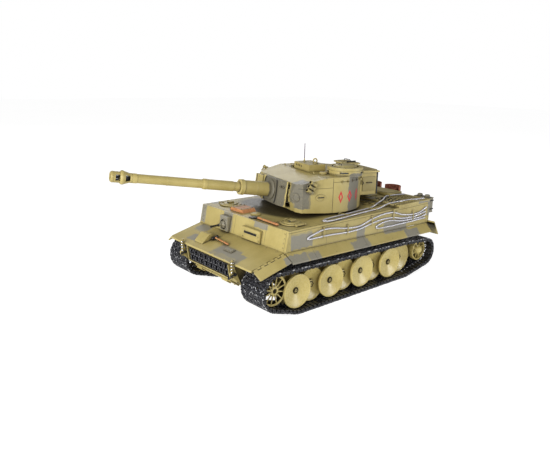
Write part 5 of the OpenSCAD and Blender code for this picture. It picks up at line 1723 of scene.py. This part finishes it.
def roof_hatch():
    """Loader's hatch: bolts, inner plate, handle and hinge."""
    rounded("loader_hatch", "loader_hatch", "turret", 0.35)
    shape = Shape(TURRET)
    top = 174.6
    for x in (-71.4, -51.6):
        for y in (-17.6, -2, 13.6):
            shape.bolt(0.55, 0.5, 0, move(x, y, top))
    shape.prism([(-68, -17), (-55, -17), (-55, 13), (-68, 13)], top - 0.1, top + 0.8)
    shape.tube([(-62, -10, 175.2), (-62, -10, 177.6), (-62, -9, 178.4), (-62, 5, 178.4), (-62, 6, 177.6),
                (-62, 6, 175.2)], 0.55, 8, 1)
    shape.rod(1.2, -8, 8, 1, move(-61.6, 9.6, 176.2) @ LATHE_X, 14, 0.2)
    finish("loader_handle", shape, "loader_hatch", ["turret", "dark"], bevel=0.2)


def stowage_bin():
    """Bin behind the turret: pressed panels, hinges, latches, handles and lid."""
    shape = Shape(TURRET)
    rounded("turret_bin", "turret", "bin", 0.5)
    # pressed ribs, lid lip, hinges, latches and handles
    for y0, y1 in ((-35, -12.5), (-5.5, 17)):
        shape.prism([(y0, 128), (y1, 128), (y1, 154), (y0, 154)], -107.7, -107.0, 0,
                    DRAW_X)
        shape.prism([(y0 + 2.4, 130.4), (y1 - 2.4, 130.4), (y1 - 2.4, 151.6), (y0 + 2.4, 151.6)], -108.1,
                    -107.5, 0, DRAW_X)
    for y in (-30, -9, 12):
        shape.box((-109.8, y - 1.6, 153), (-107, y + 1.6, 162), 0)
        shape.rod(0.8, -2.4, 2.4, 1, move(-109.4, y, 158) @ LATHE_Y, 12)
        shape.box((-109.6, y - 2.4, 148.6), (-107.2, y + 2.4, 150.2), 1)
    for side, y, edge in ((1, 20, 0.5), (-1, -38, 0.3)):
        shape.box((-107.2, y - 0.3, 124), (-104.6, y + edge, 160), 1)
        shape.box((-102, y - side * 0.2, 130), (-78, y + side * 0.9, 152))
        shape.tube([(-95, y, 143), (-95, y + side * 2, 143), (-94, y + side * 2.6, 143),
                    (-86, y + side * 2.6, 143), (-85, y + side * 2, 143), (-85, y, 143)], 0.6, 8, 1)
        for x in (-104.6, -76):
            for z in (128, 154.6):
                shape.rivet(0.5, 0.4, 0, move(x, y, z) @ LATHE_Y @ (IDENTITY if side > 0 else turn(180, "X")))
    shape.prism([(-105, -36), (-76, -36), (-74, -34), (-74, 16), (-76, 18), (-105, 18), (-106, 17),
                 (-106, -35)], 161.6, 163.0, 0)
    for y0, y1 in ((-30, -12), (-6, 12)):
        shape.prism([(-102, y0), (-79, y0), (-79, y1), (-102, y1)], 162.8, 163.7)
    for y in (-33, -9, 15):
        shape.rod(1.0, -3, 3, 1, move(-73.6, y, 163.2) @ LATHE_Y, 14, 0.2)
    finish("bin_fittings", shape, "turret", ["turret", "dark"], bevel=0.25)


def launchers():
    """Three smoke tubes on a bracket on each side."""
    shape = Shape(TURRET)
    for side in (1, -1):
        m = mirrored(side)
        wall = m @ move(45, 68.1, 144) @ turn(-9.6, "Z")
        shape.prism([(-5, 0), (5, 0), (5, 12), (3, 14), (-3, 14), (-5, 12)], 0.1, 2, 0,
                    wall @ DRAW_Y)
        for z in (1.6, 12):
            shape.bolt(0.6, 0.5, 0, wall @ move(-3, 2, z) @ LATHE_Y)
        for k in range(3):
            t = m @ move(39 + k * 2.6, 72, 156.4 - k * 5.2) @ turn(12, "Z") @ turn(62, "Y")
            shape.lathe([(0, -0.6), (2.2, -0.6), (2.7, 0), (2.7, 1.2), (2.4, 1.5), (2.4, 9.4), (2.8, 9.8),
                         (2.8, 11.6), (2.6, 12), (2.25, 12), (2.0, 11.6)], 28, 0, t)
            shape.lathe([(2.0, 11.6), (2.0, 5), (0, 5)], 28, 1, t)
            shape.rod(0.9, -2.2, 0, 1, t, 12)
            shape.ring(2.65, 0.35, 0, t @ move(0, 0, 5.2), 28, 6)
            shape.box((-1.2, -4.2, 3), (1.2, -1.8, 5), 0, t)
    finish("smoke_tubes", shape, "turret", ["turret", "dark"], replaces=["smoke_launchers"],
           sharp=36)


def aerial():
    """Aerial on its stepped foot."""
    shape = Shape(TURRET @ move(8.3, -15, 0))
    shape.lathe([(2.4, 175.4), (2.4, 176.2), (1.6, 176.6), (1.4, 177.8), (1.1, 178.6), (0.8, 179), (0.8, 181),
                 (0.5, 181.6)], 20, 1)
    shape.lathe([(0.75, 180.6), (0.72, 195), (0.6, 203.8), (0, 204.5)], 14)
    finish("aerial_rod", shape, "turret", ["aerial", "plain"], replaces=["antenna"])


# ---------------------------------------------------------------- gun

def mantlet():
    """Gun mantlet with its bands, collar, sight openings and sleeve rings."""
    rounded("mantlet", "gun", "gun", 0.6)
    shape = Shape(GUN)
    face = 12.0
    # dark curved band that stands off the left of the plate, and its mirror
    for side in (1, -1):
        band = []
        for k in range(13):
            a = math.radians(-76 + k * 152 / 12)
            band.append((side * (17.2 + 4.6 * math.cos(a)), 17.6 * math.sin(a)))
        inner = [(y - side * 2.6, z * 0.985) for y, z in reversed(band)]
        outline = band + inner
        shape.prism(outline if side < 0 else outline[::-1], face - 0.5, face + 0.5, 1, DRAW_X)
        slope = math.degrees(math.atan2(12 - 6.6, 16.5))
        plate = move(9.3, side * 33.2, 0) @ turn(side * slope, "Z") @ LATHE_X
        for z in (-13.6, 13.6):
            shape.bolt(0.9, 0.6, 0, plate @ move(z, 0, 0))
        for y in (-5, 5):
            shape.bolt(0.7, 0.5, 0, plate @ move(-15.4, y, 0))
        for z in (-16, 16):
            shape.rivet(0.7, 0.4, 0, move(face, side * 8, z) @ LATHE_X)
    # square right end of the plate, with a groove near its edge
    shape.prism([(8.4, -41), (11.6, -26), (13.4, -26), (13.4, -50), (8.4, -50)], -16.4, 16.4)
    shape.box((13.3, -46.6, -16.3), (13.55, -44.4, 16.3), 1)
    for z in (-13, 13):
        shape.bolt(0.9, 0.6, 0, move(13.4, -39, z) @ LATHE_X)
    # collar where the sleeve leaves the plate, with bolts
    shape.lathe([(15.4, -0.6), (15.4, 1.0), (14.4, 2.0), (12.2, 2.8), (10.4, 3.2)], 56, 0,
                move(face, 0, 0) @ LATHE_X)
    shape.bolts(around(8, 13.6, 0.39), 0.7, 0.6, 0, move(face + 1.5, 0, 0) @ LATHE_X)
    # sight openings: two at the left, one for the coaxial gun at the right
    for y in (29.4, 34.4):
        sight = move(9.6 + (34.4 - y) * 0.3, y, 9.2) @ LATHE_X
        shape.lathe([(1.7, -0.6), (1.7, 1.0), (1.3, 1.3), (1.1, 1.0), (1.1, 0.2)], 24, 0, sight)
        shape.lathe([(1.1, 0.3), (0, 0.3)], 24, 1, sight)
    coaxial = move(face - 0.6, -27, 3) @ LATHE_X
    shape.lathe([(2.6, -0.6), (2.6, 1.6), (2.0, 2.2), (1.7, 1.6), (1.7, 0.2)], 28, 0, coaxial)
    shape.rod(1.2, 0, 6, 1, coaxial, 18, 0.2)
    # rings on the sleeve
    shape.lathe([(10.4, 36.0), (10.7, 36.3), (10.7, 37.2), (10.4, 37.5)], 56, 0, LATHE_X)
    shape.lathe([(11.2, 56.6), (11.45, 56.9), (11.45, 57.6), (11.2, 57.9)], 56, 0, LATHE_X)
    shape.lathe([(11.2, 60.2), (11.0, 61.6), (10.0, 62.2), (8.4, 62.6), (7.3, 62.6), (7.0, 62.0)], 56, 0,
                LATHE_X)
    shape.bolts(around(6, 9.0), 0.6, 0.5, 0, move(62.2, 0, 0) @ LATHE_X)
    finish("mantlet_fittings", shape, "gun", ["gun", "dark"], bevel=0.15)


def gun_barrel():
    """Stepped barrel, bored from the muzzle."""
    shape = Shape(GUN @ LATHE_X)
    shape.lathe([(0, -15.8), (5.8, -15.8), (6.7, -15.0), (6.7, 71.6), (7.3, 72.4), (7.3, 112.4), (7.6, 112.8),
                 (7.6, 117.2), (7.2, 117.9), (6.5, 118.8), (6.3, 119.4), (6.2, 168), (6.4, 168.3),
                 (6.4, 169.6), (6.15, 169.9), (6.1, 209.6), (6.6, 210.2), (6.6, 215.6), (6.4, 216.3),
                 (4.4, 216.6), (4.4, 217.4), (2.6, 217.4), (2.6, 120), (0, 119.5)], 56)
    finish("gun_barrel", shape, "recoil", ["gun"], replaces=["barrel"], sharp=30)


def brake_body():
    """Muzzle brake: two chambers open at both sides, with a disc between them."""
    shape = Shape(GUN @ move(216.3, 0, 0) @ LATHE_X)
    for ring_section in ([(4.6, 0.2), (6.5, 0.2), (6.6, 0.6), (6.6, 2.2), (6.3, 2.8), (4.6, 2.8)],
                         [(4.4, 9.4), (8.5, 9.4), (9.2, 11.4), (9.4, 12.2), (9.4, 13.4), (9.1, 14.2),
                          (7.5, 15.8), (4.4, 15.8)],
                         [(4.4, 22), (7.4, 22), (7.4, 25.4), (7.0, 26.8), (6.2, 27.8), (5.6, 28), (4.4, 28),
                          (4.0, 27.4)]):
        shape.lathe(ring_section, 56, 0, closed=True)
    for a, z0, z1 in ((0, 2.8, 9.4), (180, 15.8, 22)):
        arc_sweep(shape, [(5.2, 2.6), (6.3, 2.6), (8.5, 9.6), (7.2, 9.6)], a - 57, a + 57)
        arc_sweep(shape, [(6.0, 15.6), (7.4, 15.6), (7.4, 22.2), (6.0, 22.2)], a - 54, a + 54)
        # the chambers' blackened lining
        arc_sweep(shape, [(4.6, 2.7), (5.2, 2.7), (7.2, 9.5), (6.6, 9.5)], a - 56, a + 56, 1)
        arc_sweep(shape, [(5.4, 15.7), (6.0, 15.7), (6.0, 22.1), (5.4, 22.1)], a - 53, a + 53, 1)
        shape.box((-2.2, -0.7, z0), (2.2, 0.7, z1), 1)
    shape.lathe([(7.4, 24.6), (7.65, 24.8), (7.65, 25.6), (7.4, 25.8)], 56, 0)
    for k in range(4):
        shape.bolt(0.6, 0.5, 0, turn(45 + 90 * k, "Z") @ move(6.5, 0, 1.4) @ turn(90, "Y"))
    finish("brake_body", shape, "recoil", ["gun", "dark"], replaces=["muzzle_brake"], sharp=30)


for make in (running_gear, swing_arms, hull_shell, hull_bolts, spare_track, links_holder, nose_beam,
             tow_rings, front_fittings, stowed_tools, machine_gun, deck, exhaust_pipes, filter_boxes,
             rear_fittings, cables, inside_parts, turret_shell, cupola_drum, cupola_cover, roof_hatch,
             stowage_bin, launchers, aerial, mantlet, gun_barrel, brake_body):
    make()
hatch("left", 1)
hatch("right", -1)
